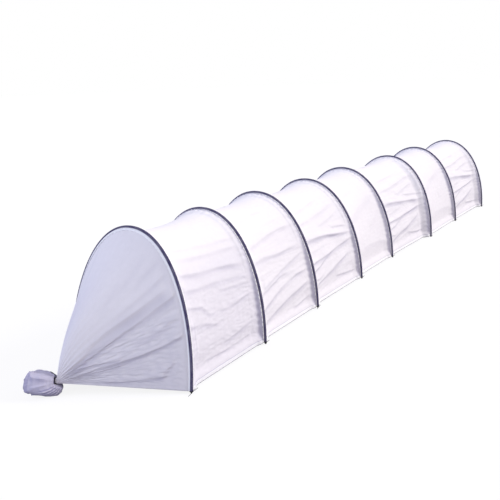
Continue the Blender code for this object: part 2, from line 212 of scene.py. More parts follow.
def unit(vectors):
    """The same directions, one metre long."""
    return vectors / np.linalg.norm(vectors, axis=-1, keepdims=True)


def run_along(points):
    """How far along a line of points each one lies."""
    steps = np.linalg.norm(np.diff(points, axis=0), axis=-1)
    return np.concatenate(((0,), np.cumsum(steps)))


class Hoop:
    """One hoop as it stands: its arch in its own leaning plane, measured by length along the pipe."""

    FINE = 1600

    def __init__(self, index, hoops, hem_height):
        wide, high, self.shift, self.y, lean = HOOP_TABLE[index]
        self.half, self.height = hoops.width * wide / 2, hoops.height * high
        self.lean = math.radians(lean)
        power = 2 / hoops.squareness
        first = math.asin((hem_height / self.height) ** (1 / power))
        angle = np.linspace(first, math.pi - first, self.FINE)
        across = np.sign(np.cos(angle)) * np.abs(np.cos(angle)) ** power * self.half
        self.line = np.stack((across, np.sin(angle) ** power * self.height), axis=-1)
        self.run = run_along(self.line)
        self.arc = self.run[-1]
        along = unit(np.gradient(self.line, axis=0))
        self.out = np.stack((along[:, 1], -along[:, 0]), axis=-1)

    def flat(self, share):
        """The place on the arch and the outward direction there, in the hoop's own plane."""
        at = np.asarray(share, float) * self.arc
        place = np.stack([np.interp(at, self.run, self.line[:, n]) for n in (0, 1)], axis=-1)
        out = np.stack([np.interp(at, self.run, self.out[:, n]) for n in (0, 1)], axis=-1)
        return place, unit(out)

    def place(self, flat, along):
        """Points of the hoop's plane, moved along the tunnel square to it, in the world."""
        up = np.array((0, math.sin(self.lean), math.cos(self.lean)))
        square = np.array((0, math.cos(self.lean), -math.sin(self.lean)))
        foot = np.array((self.shift, self.y, 0.0))
        along = np.asarray(along, float)[..., None]
        return foot + flat[..., :1] * np.array((1.0, 0, 0)) + flat[..., 1:] * up + along * square

    def at(self, share, along=0.0, out=0.0):
        """The place at a share of the arch, with an offset along the tunnel and one outward."""
        place, outward = self.flat(share)
        return self.place(place + outward * np.asarray(out, float)[..., None], along)

    def outward(self, share):
        """The outward direction in the world."""
        return unit(self.at(share, 0, 0.01) - self.at(share))

    def leg(self, left, height):
        """The pipe's middle at a height near a foot, carried on straight below the hem."""
        low, high = (self.line[-1], self.line[-40]) if left else (self.line[0], self.line[39])
        return self.place(low + (high - low) * (height - low[1]) / (high[1] - low[1]), 0.0)


def tunnel_of(context):
    """All the hoops, from the current sizes, and the sizes of the hoops, the cover and the ends."""
    scene = context.scene
    hoops = [Hoop(n, scene.tunnel_hoops, scene.tunnel_cover.hem_height) for n in range(HOOP_COUNT)]
    return hoops, scene.tunnel_hoops, scene.tunnel_cover, scene.tunnel_ends


# Making and shaping pieces


def deselect_all():
    if bpy.context.mode != "OBJECT":
        bpy.ops.object.mode_set(mode="OBJECT")
    bpy.ops.object.select_all(action="DESELECT")


def select_only(piece):
    deselect_all()
    piece.select_set(True)
    bpy.context.view_layer.objects.active = piece


def finish_piece(piece, slot, body, *nodes):
    """Gives a piece its slot's material, and lets it ride in place of CAD nodes."""
    name, make = FINISHES[slot]
    piece.data.materials.clear()
    piece.data.materials.append(
        bpy.data.materials.get(name) or make(name, bpy.context.scene.tunnel_looks)
    )
    if body:
        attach(piece, body)
    if nodes:
        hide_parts(*nodes)


def cloth(name, grid, spread, thickness, marks, flip=True, wrap=False):
    """A thin sheet through a grid of points, with its map in metres, its marks and its thickness.

    Flip turns its outside round, and wrap joins its last row to the first.
    """
    rows, columns = grid.shape[:2]
    count = rows if wrap else rows - 1
    r, c = np.meshgrid(np.arange(count), np.arange(columns - 1), indexing="ij")
    corners = [(r, c), (r, c + 1), (r + 1, c + 1), (r + 1, c)]
    if flip:
        corners.reverse()
    faces = np.stack([(a % rows) * columns + b for a, b in corners], axis=-1).reshape(-1, 4)
    mesh = bpy.data.meshes.new(name)
    mesh.from_pydata(grid.reshape(-1, 3).tolist(), [], faces.tolist())
    mesh.shade_smooth()
    uv = mesh.uv_layers.new(name="cloth")
    pairs = np.stack([spread[a, b] for a, b in corners], axis=-2).reshape(-1, 2)
    uv.data.foreach_set("uv", pairs.ravel())
    for mark, values in marks.items():
        layer = mesh.attributes.new(mark, "FLOAT", "POINT")
        layer.data.foreach_set("value", np.ascontiguousarray(values, dtype=float).ravel())
    piece = bpy.data.objects.new(name, mesh)
    bpy.context.scene.collection.objects.link(piece)
    solid = piece.modifiers.new("thickness", "SOLIDIFY")
    solid.thickness = thickness
    solid.offset = -1
    return piece


def bar(name, points, radius, sides):
    """A round bar along a line of points, modelled as a path with a bevel and made a mesh."""
    deselect_all()
    bpy.ops.curve.primitive_nurbs_path_add(radius=1, location=(0, 0, 0))
    piece = bpy.context.object
    curve = piece.data
    curve.splines.clear()
    spline = curve.splines.new("NURBS")
    spline.points.add(len(points) - 1)
    for point, place in zip(spline.points, points):
        point.co = (*place, 1)
    spline.order_u, spline.use_endpoint_u, spline.resolution_u = 4, True, 3
    curve.bevel_depth = radius
    curve.bevel_resolution = sides // 2 - 2
    curve.use_fill_caps = True
    select_only(piece)
    bpy.ops.object.convert(target="MESH")
    piece = bpy.context.object
    bpy.ops.object.mode_set(mode="EDIT")
    bpy.ops.mesh.select_all(action="SELECT")
    bpy.ops.mesh.remove_doubles(threshold=0.00002)
    bpy.ops.mesh.normals_make_consistent(inside=False)
    bpy.ops.object.mode_set(mode="OBJECT")
    bpy.ops.object.shade_smooth_by_angle(angle=math.radians(50))
    piece.name = piece.data.name = name
    return piece


# Materials


def join(tree, made, *links):
    """Links inputs of a node, each given as (input, node, output)."""
    for name, other, output in links:
        tree.links.new(other.outputs[output], made.inputs[name])


def node(tree, kind, links=(), **settings):
    """Adds a node, with its settings, and its links as (input, node, output)."""
    made = tree.nodes.new(kind)
    for key, value in settings.items():
        if key in made.inputs:
            made.inputs[key].default_value = value
        else:
            setattr(made, key, value)
    join(tree, made, *links)
    return made


def new_material(name, **values):
    """A material with these values on its shader's own sockets."""
    made = bpy.data.materials.new(name)
    made.use_nodes = True
    shader = made.node_tree.nodes["Principled BSDF"]
    for key, value in values.items():
        shader.inputs[key].default_value = value
    return made, made.node_tree, shader


def shade(tone, share=1.0):
    """A colour made darker or paler by a share, as a socket takes it."""
    return (*(c * share for c in tone), 1)


def on_piece(tree):
    """The links that lay a texture on a piece by its own coordinates."""
    return (("Vector", node(tree, "ShaderNodeTexCoord"), "Object"),)


def between(tree, by, output, first, last):
    """A colour that goes over from the first to the last with a node's output."""
    return node(tree, "ShaderNodeMix", (("Factor", by, output),), data_type="RGBA", A=first, B=last)


def ranged(tree, by, output, source=(0, 1), result=(0, 1), kind="LINEAR"):
    """A node's output, with one range of it mapped onto another and held inside that."""
    ends = dict(zip(("From Min", "From Max", "To Min", "To Max"), (*source, *result)))
    return node(tree, "ShaderNodeMapRange", (("Value", by, output),), interpolation_type=kind, **ends)


def spunbond_fleece(name, looks):
    """Spunbond polypropylene: matt white web of pressed fibres, slightly clouded, with lilac painted shade.
    """
    made, tree, shader = new_material(name, Roughness=0.85, IOR=1.49, **{"Specular IOR Level": 0.2})
    place = node(tree, "ShaderNodeUVMap", uv_map="cloth")
    on_cloth = (("Vector", place, "UV"),)
    # fibres lie in clouds 30 to 60 mm across, which makes the web a little thicker and thinner
    clouds = node(tree, "ShaderNodeTexNoise", on_cloth, Scale=22.0, Detail=4.0, Roughness=0.6)
    # pressed points 0.9 mm apart are drawn 3.5 mm apart, the least that shows from a few metres away
    points = node(tree, "ShaderNodeTexVoronoi", on_cloth, Scale=280.0, Randomness=0.55)
    # fine creases 12 to 25 mm apart, left by the packing
    creases = node(tree, "ShaderNodeTexNoise", on_cloth, Scale=46.0, Detail=3.0, Distortion=0.6)
    cloudy = ranged(tree, clouds, "Fac", (0.3, 0.7))
    last = between(tree, cloudy, "Result", shade(looks.fleece, 0.965), shade(looks.fleece))
    # sewn strips lie double and look whiter; painted shade darkens folds, risers, crumples, the ends and
    # the tails; the hem is painted dark, partly as its cord showing through and partly as painted shadow
    for mark, tone in (("sewn", looks.sewn), ("painted_shade", looks.painted_shade), ("cord_and_hem_shadow", looks.over_pipe)):
        where = node(tree, "ShaderNodeAttribute", attribute_name=mark)
        links = (("Factor", where, "Fac"), ("A", last, 2))
        last = node(tree, "ShaderNodeMix", links, data_type="RGBA", B=shade(tone))
    if name == FINISHES["sleeve_fleece"][0]:
        # drawn tight the web is thinner in streaks, and more of the black pipe shows through it
        streak = node(tree, "ShaderNodeMapping", on_cloth, Scale=(14.0, 120.0, 1.0))
        mottle = node(tree, "ShaderNodeTexNoise", (("Vector", streak, "Vector"),), Scale=1.0, Detail=3.0)
        patchy = ranged(tree, mottle, "Fac", (0.35, 0.75), (0, 0.35))
        paler = [0.5 * a + 0.5 * b for a, b in zip(looks.over_pipe, looks.fleece)]
        dark = between(tree, patchy, "Result", shade(looks.over_pipe), shade(paler))
        where = node(tree, "ShaderNodeAttribute", attribute_name="over_pipe")
        links = (("Factor", where, "Fac"), ("A", last, 2), ("B", dark, 2))
        last = node(tree, "ShaderNodeMix", links, data_type="RGBA")
    creased = node(tree, "ShaderNodeBump", (("Height", creases, "Fac"),), Strength=0.35, Distance=0.0012)
    links = (("Height", points, "Distance"), ("Normal", creased, "Normal"))
    pressed = node(tree, "ShaderNodeBump", links, Strength=0.25, Distance=0.0003)
    join(tree, shader, ("Base Color", last, 2), ("Normal", pressed, "Normal"))
    return made


def polyethylene_pipe(name, looks):
    """Extruded black polyethylene: satin, dulled in patches where it was handled."""
    made, tree, shader = new_material(name, IOR=1.51)
    # scuffs 5 to 20 mm across from pushing the pipe through its sleeve
    scuffs = node(tree, "ShaderNodeTexNoise", on_piece(tree), Scale=90.0, Detail=5.0)
    tones = between(tree, scuffs, "Fac", shade(looks.pipe, 0.8), shade(looks.pipe, 1.25))
    shine = ranged(tree, scuffs, "Fac", result=(0.38, 0.58))
    join(tree, shader, ("Base Color", tones, 2), ("Roughness", shine, "Result"))
    return made


def moulded_plug(name, looks):
    """Injection-moulded black polypropylene: even satin with a fine spark-eroded grain."""
    made, tree, shader = new_material(name, Roughness=0.5, IOR=1.49)
    # mould grain 0.4 mm across, drawn 1 mm across so that it shows
    grain = node(tree, "ShaderNodeTexNoise", on_piece(tree), Scale=1000.0, Detail=2.0)
    # garden dust in spots 4 to 16 mm across
    dust = node(tree, "ShaderNodeTexNoise", on_piece(tree), Scale=120.0, Detail=4.0)
    tones = between(tree, dust, "Fac", shade(looks.plug, 0.8), shade(looks.plug, 1.6))
    bump = node(tree, "ShaderNodeBump", (("Height", grain, "Fac"),), Strength=0.3, Distance=0.0002)
    join(tree, shader, ("Base Color", tones, 2), ("Normal", bump, "Normal"))
    return made


def braided_cord(name, looks):
    """Braided polyester cord: dark, matt, with a fine diagonal lay that breaks up the light."""
    made, tree, shader = new_material(name, Roughness=0.85, IOR=1.5)
    # braid strands 0.7 mm wide, drawn 1.6 mm wide
    braid = node(
        tree, "ShaderNodeTexWave", on_piece(tree),
        bands_direction="DIAGONAL", Scale=200.0, Distortion=1.5, Detail=1.0,
    )
    # the braid's waves paint its grooves darker and its strands paler: painted shade and painted light that
    # follow the bump
    tones = between(tree, braid, "Fac", shade(looks.cord, 0.6), shade(looks.cord, 1.8))
    bump = node(tree, "ShaderNodeBump", (("Height", braid, "Fac"),), Strength=0.5, Distance=0.0004)
    join(tree, shader, ("Base Color", tones, 2), ("Normal", bump, "Normal"))
    return made


# The material of each record slot: its name and the function that makes it
FINISHES = {
    "pipe": ("black_polyethylene_pipe", polyethylene_pipe),
    "plug": ("moulded_polypropylene_plug", moulded_plug),
    "cover_fleece": ("spunbond_polypropylene_fleece", spunbond_fleece),
    "sleeve_fleece": ("spunbond_fleece_tight_on_pipe", spunbond_fleece),
    "cord": ("braided_polyester_cord", braided_cord),
}


# The pieces


class TUNNEL_OT_pipes(bpy.types.Operator):
    """Bend one black pipe for each hoop"""

    bl_idname = "tunnel.pipes"
    bl_label = "Pipes"

    def execute(self, context):
        hoops, sizes, _, _ = tunnel_of(context)
        end = sizes.plug_point + sizes.plug_collar + 0.3 * MM
        for n, hoop in enumerate(hoops):
            lift = (end - hoop.line[0][1]) / hoop.arc
            shares = np.concatenate(((lift,), np.linspace(0.03, 0.97, 71), (1 - lift,)))
            piece = bar(f"pipe_{n + 1}", hoop.at(shares), sizes.pipe_radius, 20)
            finish_piece(piece, "pipe", f"station_{n + 1}", f"hoop_{n + 1}")
        return {"FINISHED"}


class TUNNEL_OT_plugs(bpy.types.Operator):
    """Mould the pointed plug, and set a copy in each pipe end"""

    bl_idname = "tunnel.plugs"
    bl_label = "Foot plugs"

    def execute(self, context):
        hoops, sizes, _, _ = tunnel_of(context)
        master, top = self.mould(sizes), sizes.plug_point + sizes.plug_collar
        for n, hoop in enumerate(hoops):
            for side, left in SIDES:
                seat, above = hoop.leg(left, top), hoop.leg(left, top + 0.05)
                aim = Vector(above - seat).to_track_quat("Z", "Y").to_matrix().to_4x4()
                plug = master.copy()
                plug.data = master.data.copy()
                plug.name = plug.data.name = f"foot_plug_{side}_{n + 1}"
                context.scene.collection.objects.link(plug)
                plug.data.transform(Matrix.Translation(Vector(seat)) @ aim)
                self.level(plug)
                finish_piece(plug, "plug", f"station_{n + 1}", f"end_plug_{side}_{n + 1}")
        bpy.data.objects.remove(master, do_unlink=True)
        return {"FINISHED"}

    def mould(self, sizes):
        """The plug upside up, its collar's top at 0: collar, ringed point and spigot."""
        deselect_all()
        collar, point = sizes.plug_collar, sizes.plug_point
        bpy.ops.mesh.primitive_cylinder_add(
            vertices=32, radius=sizes.pipe_radius, depth=collar, location=(0, 0, -collar / 2)
        )
        plug = bpy.context.object
        bpy.ops.object.transform_apply(location=True, rotation=True, scale=True)
        bpy.ops.object.mode_set(mode="EDIT")
        self.pick(plug, -1)
        bpy.ops.mesh.inset(thickness=sizes.pipe_radius - sizes.plug_neck)
        # the point in steps down from the collar: share of its length, and how much it narrows
        depth, steps = point + 4 * MM, ((0.2, 0.93), (0.08, 0.98), (0.08, 1.1), (0.3, 0.72), (0.34, 0.45))
        for down, narrow in steps:
            bpy.ops.mesh.extrude_region_move(TRANSFORM_OT_translate={"value": (0, 0, -depth * down)})
            bpy.ops.transform.resize(value=(narrow, narrow, 1))
        self.pick(plug, 1)
        bpy.ops.mesh.inset(thickness=2.4 * MM)
        bpy.ops.mesh.extrude_region_move(TRANSFORM_OT_translate={"value": (0, 0, 24 * MM)})
        bpy.ops.object.mode_set(mode="OBJECT")
        soften = plug.modifiers.new("edges", "BEVEL")
        soften.width, soften.segments, soften.limit_method = 0.4 * MM, 2, "ANGLE"
        bpy.ops.object.modifier_apply(modifier="edges")
        bpy.ops.object.shade_smooth_by_angle(angle=math.radians(40))
        return plug

    def pick(self, plug, way):
        """Selects the end face that looks up or down, in edit mode."""
        bpy.ops.mesh.select_mode(type="FACE")
        bpy.ops.mesh.select_all(action="DESELECT")
        bpy.ops.object.mode_set(mode="OBJECT")
        faces = [f for f in plug.data.polygons if f.normal.z * way > 0.99]
        last = max(faces, key=lambda f: f.center.z * way)
        last.select = True
        bpy.ops.object.mode_set(mode="EDIT")

    def level(self, plug):
        """Cuts the point off level where it meets the ground."""
        select_only(plug)
        bpy.ops.object.mode_set(mode="EDIT")
        bpy.ops.mesh.select_all(action="SELECT")
        bpy.ops.mesh.bisect(plane_co=(0, 0, 0), plane_no=(0, 0, -1), use_fill=True, clear_outer=True)
        bpy.ops.object.mode_set(mode="OBJECT")


def sleeve_section(radius, half, rise):
    """The sleeve across the pipe as (along, out, over the pipe), from one strip's edge to the other's."""
    skin = radius + 0.7 * MM
    low = -radius + 0.5 * MM + rise
    side = [(along, low, 0.0) for along in (-half, -half + 4 * MM, -half + 8 * MM, -14.5 * MM)]
    side += [(-12.6 * MM, low + 0.3 * MM, 0.0), (-11.4 * MM, low + 0.9 * MM, 0.15)]
    for angle in np.linspace(math.radians(191), math.radians(90), 9):
        side.append((skin * math.cos(angle), skin * math.sin(angle), 1.0))
    return np.array(side + [(-a, b, c) for a, b, c in reversed(side[:-1])])


class TUNNEL_OT_sleeves(bpy.types.Operator):
    """Sew a fleece sleeve over each pipe, tight on it and puckered along its strips"""

    bl_idname = "tunnel.sleeves"
    bl_label = "Sleeves"

    def execute(self, context):
        hoops, sizes, cover, ends = tunnel_of(context)
        section = sleeve_section(sizes.pipe_radius, cover.sleeve_half, cover.strip_rise)
        shape = (SLEEVE_ROWS, len(section))
        along, out, over = (np.broadcast_to(section[:, m], shape) for m in range(3))
        shares = np.linspace(0, 1, SLEEVE_ROWS)[:, None]
        edge = smooth(np.abs(along), 12 * MM, cover.sleeve_half)
        for n, hoop in enumerate(hoops):
            pucker = Crumple(40 + n)
            run = shares * hoop.arc
            # the stitches gather the strips in waves 36 mm long
            gather = np.sin(2 * math.pi * run / (36 * MM) + 3 * pucker(run / 0.2, along * 0 + n))
            lift = edge * (2.8 * MM + 2.0 * MM * gather * (0.6 + 0.6 * pucker(run / 0.09, along / 0.05)))
            wander = edge * 2.5 * MM * pucker(run / 0.05, along * 0 + 9)
            tight = over * 0.25 * MM * pucker(run / 0.02, along / 0.01)
            # painted shade of the puckers, in scallops along the strips
            white, scallop_shade = 1 - over, edge * smooth(-gather, -0.4, 0.8) * smooth(along, 0, -12 * MM)
            turned = along * 0
            if n in (0, HOOP_COUNT - 1):
                # towards a gathered end the strip turns in, and only a narrow bound edge of it is white
                end = End("front" if n == 0 else "back", hoops, ends)
                outer = smooth(along * end.way, 10 * MM, 16 * MM)
                turned = end.turn(shares[:, 0])[:, None] * outer
                bound = (14 + 12 * smooth(np.minimum(shares, 1 - shares), 0.12, 0.4)) * MM
                white = white * (1 - smooth(along * end.way, bound, bound + 5 * MM))
                scallop_shade = scallop_shade * 0
            level = along * np.cos(turned) + wander * (turned == 0)
            fallen = np.abs(along) * np.sin(turned)
            grid = hoop.at(shares + along * 0, level, out + lift + tight - fallen)
            spread = np.stack((run + along * 0, along + 0.05), axis=-1)
            marks = {"over_pipe": over, "sewn": white, "painted_shade": scallop_shade}
            piece = cloth(f"fleece_sleeve_{n + 1}", grid, spread, cover.thickness, marks)
            finish_piece(piece, "sleeve_fleece", f"station_{n + 1}", f"sleeve_{n + 1}")
        return {"FINISHED"}


# Folds of the bays, low on one side, each with its height and width as shares, and then its line:
# shares of the way to the next hoop, and shares of the arch from the hem. Its lower side falls sharply.
FIRST_FOLDS = (
    (0.35, 0.8, (0, 0.45, 0.7, 1), (0.377, 0.368, 0.357, 0.345)),
    (0.45, 0.9, (0, 0.3, 0.6, 1), (0.35, 0.336, 0.33, 0.318)),
    (0.75, 1.1, (0, 0.2, 0.5, 0.75, 1), (0.302, 0.293, 0.281, 0.273, 0.26)),
    (0.6, 1, (0, 0.3, 0.6, 1), (0.257, 0.245, 0.238, 0.222)),
    (0.6, 0.8, (0.04, 0.25, 0.33, 0.5), (0.208, 0.192, 0.168, 0.152)),
    (0.8, 0.8, (0, 0.2, 0.4, 0.55), (0.163, 0.15, 0.131, 0.127)),
    (0.6, 0.8, (0.5, 0.75, 1), (0.158, 0.16, 0.172)),
    (0.6, 0.9, (0.5, 0.7, 0.95), (0.064, 0.075, 0.086)),
    (0.5, 0.8, (0.25, 0.6, 0.95), (0.045, 0.04, 0.046)),
    (0.4, 0.8, (0.55, 0.8, 1), (0.215, 0.205, 0.198)),
)
SECOND_FOLDS = (
    (0.4, 1, (0.1, 0.3, 0.5, 0.75), (0.4, 0.403, 0.415, 0.412)),
    (0.8, 1.1, (0.05, 0.3, 0.5, 0.7, 1), (0.293, 0.302, 0.312, 0.318, 0.316)),
    (1, 1.2, (0, 0.3, 0.5, 0.8, 1), (0.246, 0.244, 0.24, 0.242, 0.238)),
    (0.9, 1, (0.15, 0.3, 0.55, 0.8, 1), (0.155, 0.166, 0.186, 0.2, 0.215)),
    (0.8, 0.9, (0, 0.2, 0.45, 0.75), (0.138, 0.146, 0.163, 0.166)),
    (0.9, 1, (0.03, 0.3, 0.5, 0.75, 1), (0.088, 0.113, 0.13, 0.147, 0.146)),
    (1.1, 1.1, (0.03, 0.3, 0.5, 0.7, 1), (0.035, 0.062, 0.079, 0.091, 0.107)),
    (0.8, 0.8, (0.65, 0.85, 1), (0.036, 0.045, 0.052)),
)
DRAWN_FOLDS = (
    (0.5, 1, (0.05, 0.3, 0.55, 0.75), (0.347, 0.361, 0.373, 0.39)),
    (0.7, 1, (0.02, 0.3, 0.5, 0.8, 1), (0.299, 0.305, 0.316, 0.336, 0.34)),
    (0.5, 0.9, (0.45, 0.7, 0.95), (0.268, 0.284, 0.304)),
    (1.6, 1.2, (0, 0.3, 0.5, 0.85, 1), (0.236, 0.232, 0.224, 0.207, 0.204)),
    (0.6, 0.7, (0.65, 0.8, 1), (0.25, 0.241, 0.23)),
    (0.4, 0.8, (0.08, 0.25, 0.5), (0.186, 0.19, 0.2)),
    (1.6, 1.1, (0.02, 0.3, 0.6, 0.85, 1), (0.148, 0.152, 0.163, 0.173, 0.176)),
    (0.9, 0.8, (0, 0.2, 0.38, 0.5), (0.114, 0.124, 0.142, 0.15)),
    (0.5, 0.6, (0.04, 0.15, 0.3), (0.088, 0.083, 0.095)),
    (1.4, 1.1, (0.03, 0.25, 0.45, 0.65, 0.9), (0.055, 0.075, 0.092, 0.11, 0.132)),
    (0.9, 0.8, (0.55, 0.75, 1), (0.058, 0.048, 0.042)),
)
SMOOTH_FOLDS = (
    (0.3, 1.6, (0.05, 0.3, 0.6), (0.345, 0.36, 0.38)),
    (0.5, 2.4, (0, 0.2, 0.4, 0.7, 1), (0.22, 0.245, 0.27, 0.292, 0.33)),
    (0.25, 1.6, (0.6, 0.8, 0.95), (0.17, 0.215, 0.25)),
    (0.25, 1.4, (0.3, 0.7, 1), (0.1, 0.096, 0.08)),
)
# Short upright creases beside the front hoop, with the two shares the other way round
UPRIGHT_FOLDS = (
    (0.5, 0.42, (0.02, 0.16), (0.03, 0.038)),
    (0.6, 0.42, (0.015, 0.165), (0.056, 0.064)),
    (0.5, 0.42, (0.03, 0.15), (0.082, 0.09)),
    (0.4, 0.42, (0.07, 0.16), (0.113, 0.12)),
)
# How much the folds rise over a bay's length, at shares of the arch
RISE_TABLE = (
    (0, 0.05), (0.05, 0.085), (0.1, 0.08), (0.15, 0.035),
    (0.2, 0), (0.235, -0.03), (0.3, 0.03), (0.5, 0.02),
)
# Each bay: its folds on the right and on the left, how far up the riser keeps its full depth and
# where it has narrowed, its share left there, how crumpled and how streaked the cloth is, its seed
BAY_TABLE = (
    (FIRST_FOLDS, DRAWN_FOLDS, 0.1, 0.32, 0.2, 1.0, 0.5, 3),
    (SECOND_FOLDS, SMOOTH_FOLDS, 0.14, 0.3, 0.25, 0.4, 1.0, 11),
    (DRAWN_FOLDS, SECOND_FOLDS, 0.15, 0.27, 0.25, 0.35, 1.0, 23),
    (SMOOTH_FOLDS, FIRST_FOLDS, 0.2, 0.4, 0.35, 0.2, 0.25, 31),
    (DRAWN_FOLDS, SMOOTH_FOLDS, 0.15, 0.27, 0.25, 0.35, 1.0, 47),
    (SMOOTH_FOLDS, DRAWN_FOLDS, 0.2, 0.4, 0.35, 0.2, 0.25, 53),
    (DRAWN_FOLDS, SECOND_FOLDS, 0.15, 0.27, 0.25, 0.35, 1.0, 61),
)


def folded(lines, along, across, size, cover, wander):
    """Lift of the folds and the shade painted on each one's lower side, over a patch of cloth."""
    lift, shade_paint = 0, 0
    for n, (height, width, places, shares) in enumerate(lines):
        first, last = places[0], places[-1]
        middle = np.interp(along, places, shares) + 0.003 * wander(along * 3, along * 0 + 7.7 * n)
        spread = 1 + 0.5 * wander(along * 2.5, along * 0 + 3.1 * n + 50)
        off = (across - middle) * size / (cover.fold_width * width * spread)
        above, below = np.maximum(off, 0), np.minimum(off, 0)
        steep = 1.6 * np.exp(below / 0.42) - 0.6 * np.exp(below / 1.6)
        shape = np.where(off > 0, np.exp(-(above**1.4) / 1.5), steep)
        reach = last - first
        fade = smooth(along, first - 0.04, first + min(0.04, reach * 0.3))
        fade = fade * (1 - smooth(along, last - min(0.2, reach * 0.5), last + 0.02))
        strong = 1 + 0.6 * wander(along * 4, along * 0 + 5.3 * n + 90)
        lift = lift + cover.fold_height * height * fade * shape * strong
        # painted shade just below each fold's line
        shade_paint = shade_paint + 0.16 * min(height, 1.5) * fade * strong * np.exp(-(((off + 0.5) / 0.55) ** 2))
    return lift, shade_paint


def bay_columns(free, cover):
    """Places along a bay as shares, closer together where the cloth steps in."""
    step = 3 * cover.riser_run
    fast = np.concatenate((np.linspace(0, step, 10), step + np.linspace(0, 80 * MM, 11)[1:]))
    slow = np.linspace(fast[-1], free - fast[-1], round(free / 0.017))[1:-1]
    return np.concatenate((fast, slow, free - fast[::-1])) / free


def hem_inset(cover, near):
    """How far inside the hoops the cloth lies at least, at a distance from the nearer sleeve."""
    return cover.inset * smooth(near, 10 * MM, 60 * MM)


def clear_depth(across, inward, part, free):
    """How much deeper the cloth lies where one hoop stands out past the other, to fold up under both."""
    stands = -(across * inward * np.array((1, 0, 1))).sum(axis=-1)[..., None]
    inner = np.where(stands > 0, stands * part, -stands * (1 - part))
    return 0.7 * inner * smooth(np.minimum(part, 1 - part) * free, 10 * MM, 100 * MM)


def bay_depth(cover, bay, height, span, along, free):
    """How far the cloth lies inside the straight line between two hoops, and how much shade is painted on
    it.
    """
    right, left, full, narrow, rest, crumpled, streaked, seed = BAY_TABLE[bay]
    noise = Crumple(seed)
    share, part = height / span, along / free
    low = np.minimum(height, span - height)
    near = np.minimum(along, free - along)
    hang = np.sin(math.pi * np.clip(share, 0, 1)) ** 0.7 * 4 * part * (1 - part)
    total = cover.sag * hang
    # beside a hoop the cloth steps in, and the step narrows further up
    up = low / span + 0.02 * noise(height / 0.2, part * 2)
    riser = cover.riser * (rest + (1 - rest) * (1 - smooth(up, full, narrow)))
    step = (1 - np.exp(-near / cover.riser_run)) * (0.8 + 0.2 * np.exp(-near / 0.3))
    total += np.maximum(riser * smooth(low, 0, 0.09) * step, hem_inset(cover, near))
    # painted shade on the step's wall at the further hoop
    beside = np.exp(-(((free - along) / (2.5 * cover.riser_run)) ** 2))
    wall_shade_paint = 0.36 * riser / cover.riser * smooth(low, 0, 0.06) * beside
    total += cover.skirt * smooth(low, 0.0, 0.1) * (1 - smooth(low, 0.1, 0.24)) * smooth(near, 0, 0.1)
    # gathers 61 mm apart beside the sleeves
    beat = noise(height / 0.16, part * 0 + 4)
    gathers = np.sin(2 * math.pi * height / 0.061 + 5 * noise(height / 0.2, part * 0))
    close = np.exp(-near / 0.045) * smooth(near, 0, 0.012) * smooth(low, 0.02, 0.12)
    total -= cover.gather_depth * gathers * (0.75 + 0.9 * beat) * close
    edge = smooth(near, 0.0, 0.05) * smooth(low, 0.0, 0.06)
    shade_paint = 0
    for lines, side in ((right, share), (left, 1 - share)):
        lift, dark = folded(lines, part, side, span, cover, noise)
        total -= lift * edge
        shade_paint = shade_paint + dark * edge
    if bay == 0:
        lift, dark = folded(UPRIGHT_FOLDS, share, part, free, cover, noise)
        total -= lift * edge
        shade_paint = shade_paint + dark
    # fine creases that run with the folds
    slope = np.interp(low / span, *zip(*RISE_TABLE))
    flow = low - slope * (part - 0.5) * span
    streaks = noise.creased(flow / 0.05, along / 0.55 + 40)
    streaks = streaks + 0.5 * noise.creased(flow / 0.024, along / 0.3 + 70)
    total -= cover.streak_depth * streaked * (streaks - 0.7) * edge * (1 - smooth(low / span, 0.36, 0.46))
    # crumples drawn out along the tunnel, mostly in the lower half
    paper = noise.paper(height / 0.036, along / 0.09) - 0.9
    lower = 0.25 + 0.75 * (1 - smooth(low / span, 0.2, 0.27))
    total -= cover.crumple_depth * crumpled * paper * lower * edge
    # no crest stands so high that it would cover a pipe when the tunnel is folded up
    spare, least = total - hem_inset(cover, near), 2 * MM
    softened = hem_inset(cover, near) + (spare + np.sqrt(spare**2 + least**2)) / 2
    total = total + (softened - total) * smooth(near, 20 * MM, 60 * MM)
    # painted shade: that of the folds and of the step's wall, and more on the lower, crumpled cloth
    shade_paint = shade_paint + wall_shade_paint + 0.2 * crumpled * (1 - smooth(low / span, 0.25, 0.4))
    return total, np.clip(shade_paint, 0, 1)


def seat(cover, radius):
    """How far past a pipe's middle the cloth rises from its underside, and how far out it lies there."""
    under = -radius - 0.3 * MM
    middle, upper = under + 0.1 * cover.strip_rise, under + cover.strip_rise
    return (0.15 * MM, under), (8 * MM, middle), (cover.lap / 2, upper)


def hem_rows(row, inward, sizes):
    """Rows that roll the hem in round its cord and up behind the cover, outermost first."""
    radius, drop = sizes.hem_radius, 0.6 * MM + sizes.cord_radius
    middle = row + np.array((inward * radius, 0, -drop))
    rows = []
    for angle in np.radians((0, 25, 50, 75, 100, 125, 150, 175)):
        rows.append(middle + radius * np.array((-inward * math.cos(angle), 0, -math.sin(angle))))
    rows.append(rows[-1] + np.array((-inward * 0.6 * MM, 0, 3 * MM)))
    rows.append(rows[-1] + np.array((-inward * 0.8 * MM, 0, 6 * MM)))
    return rows


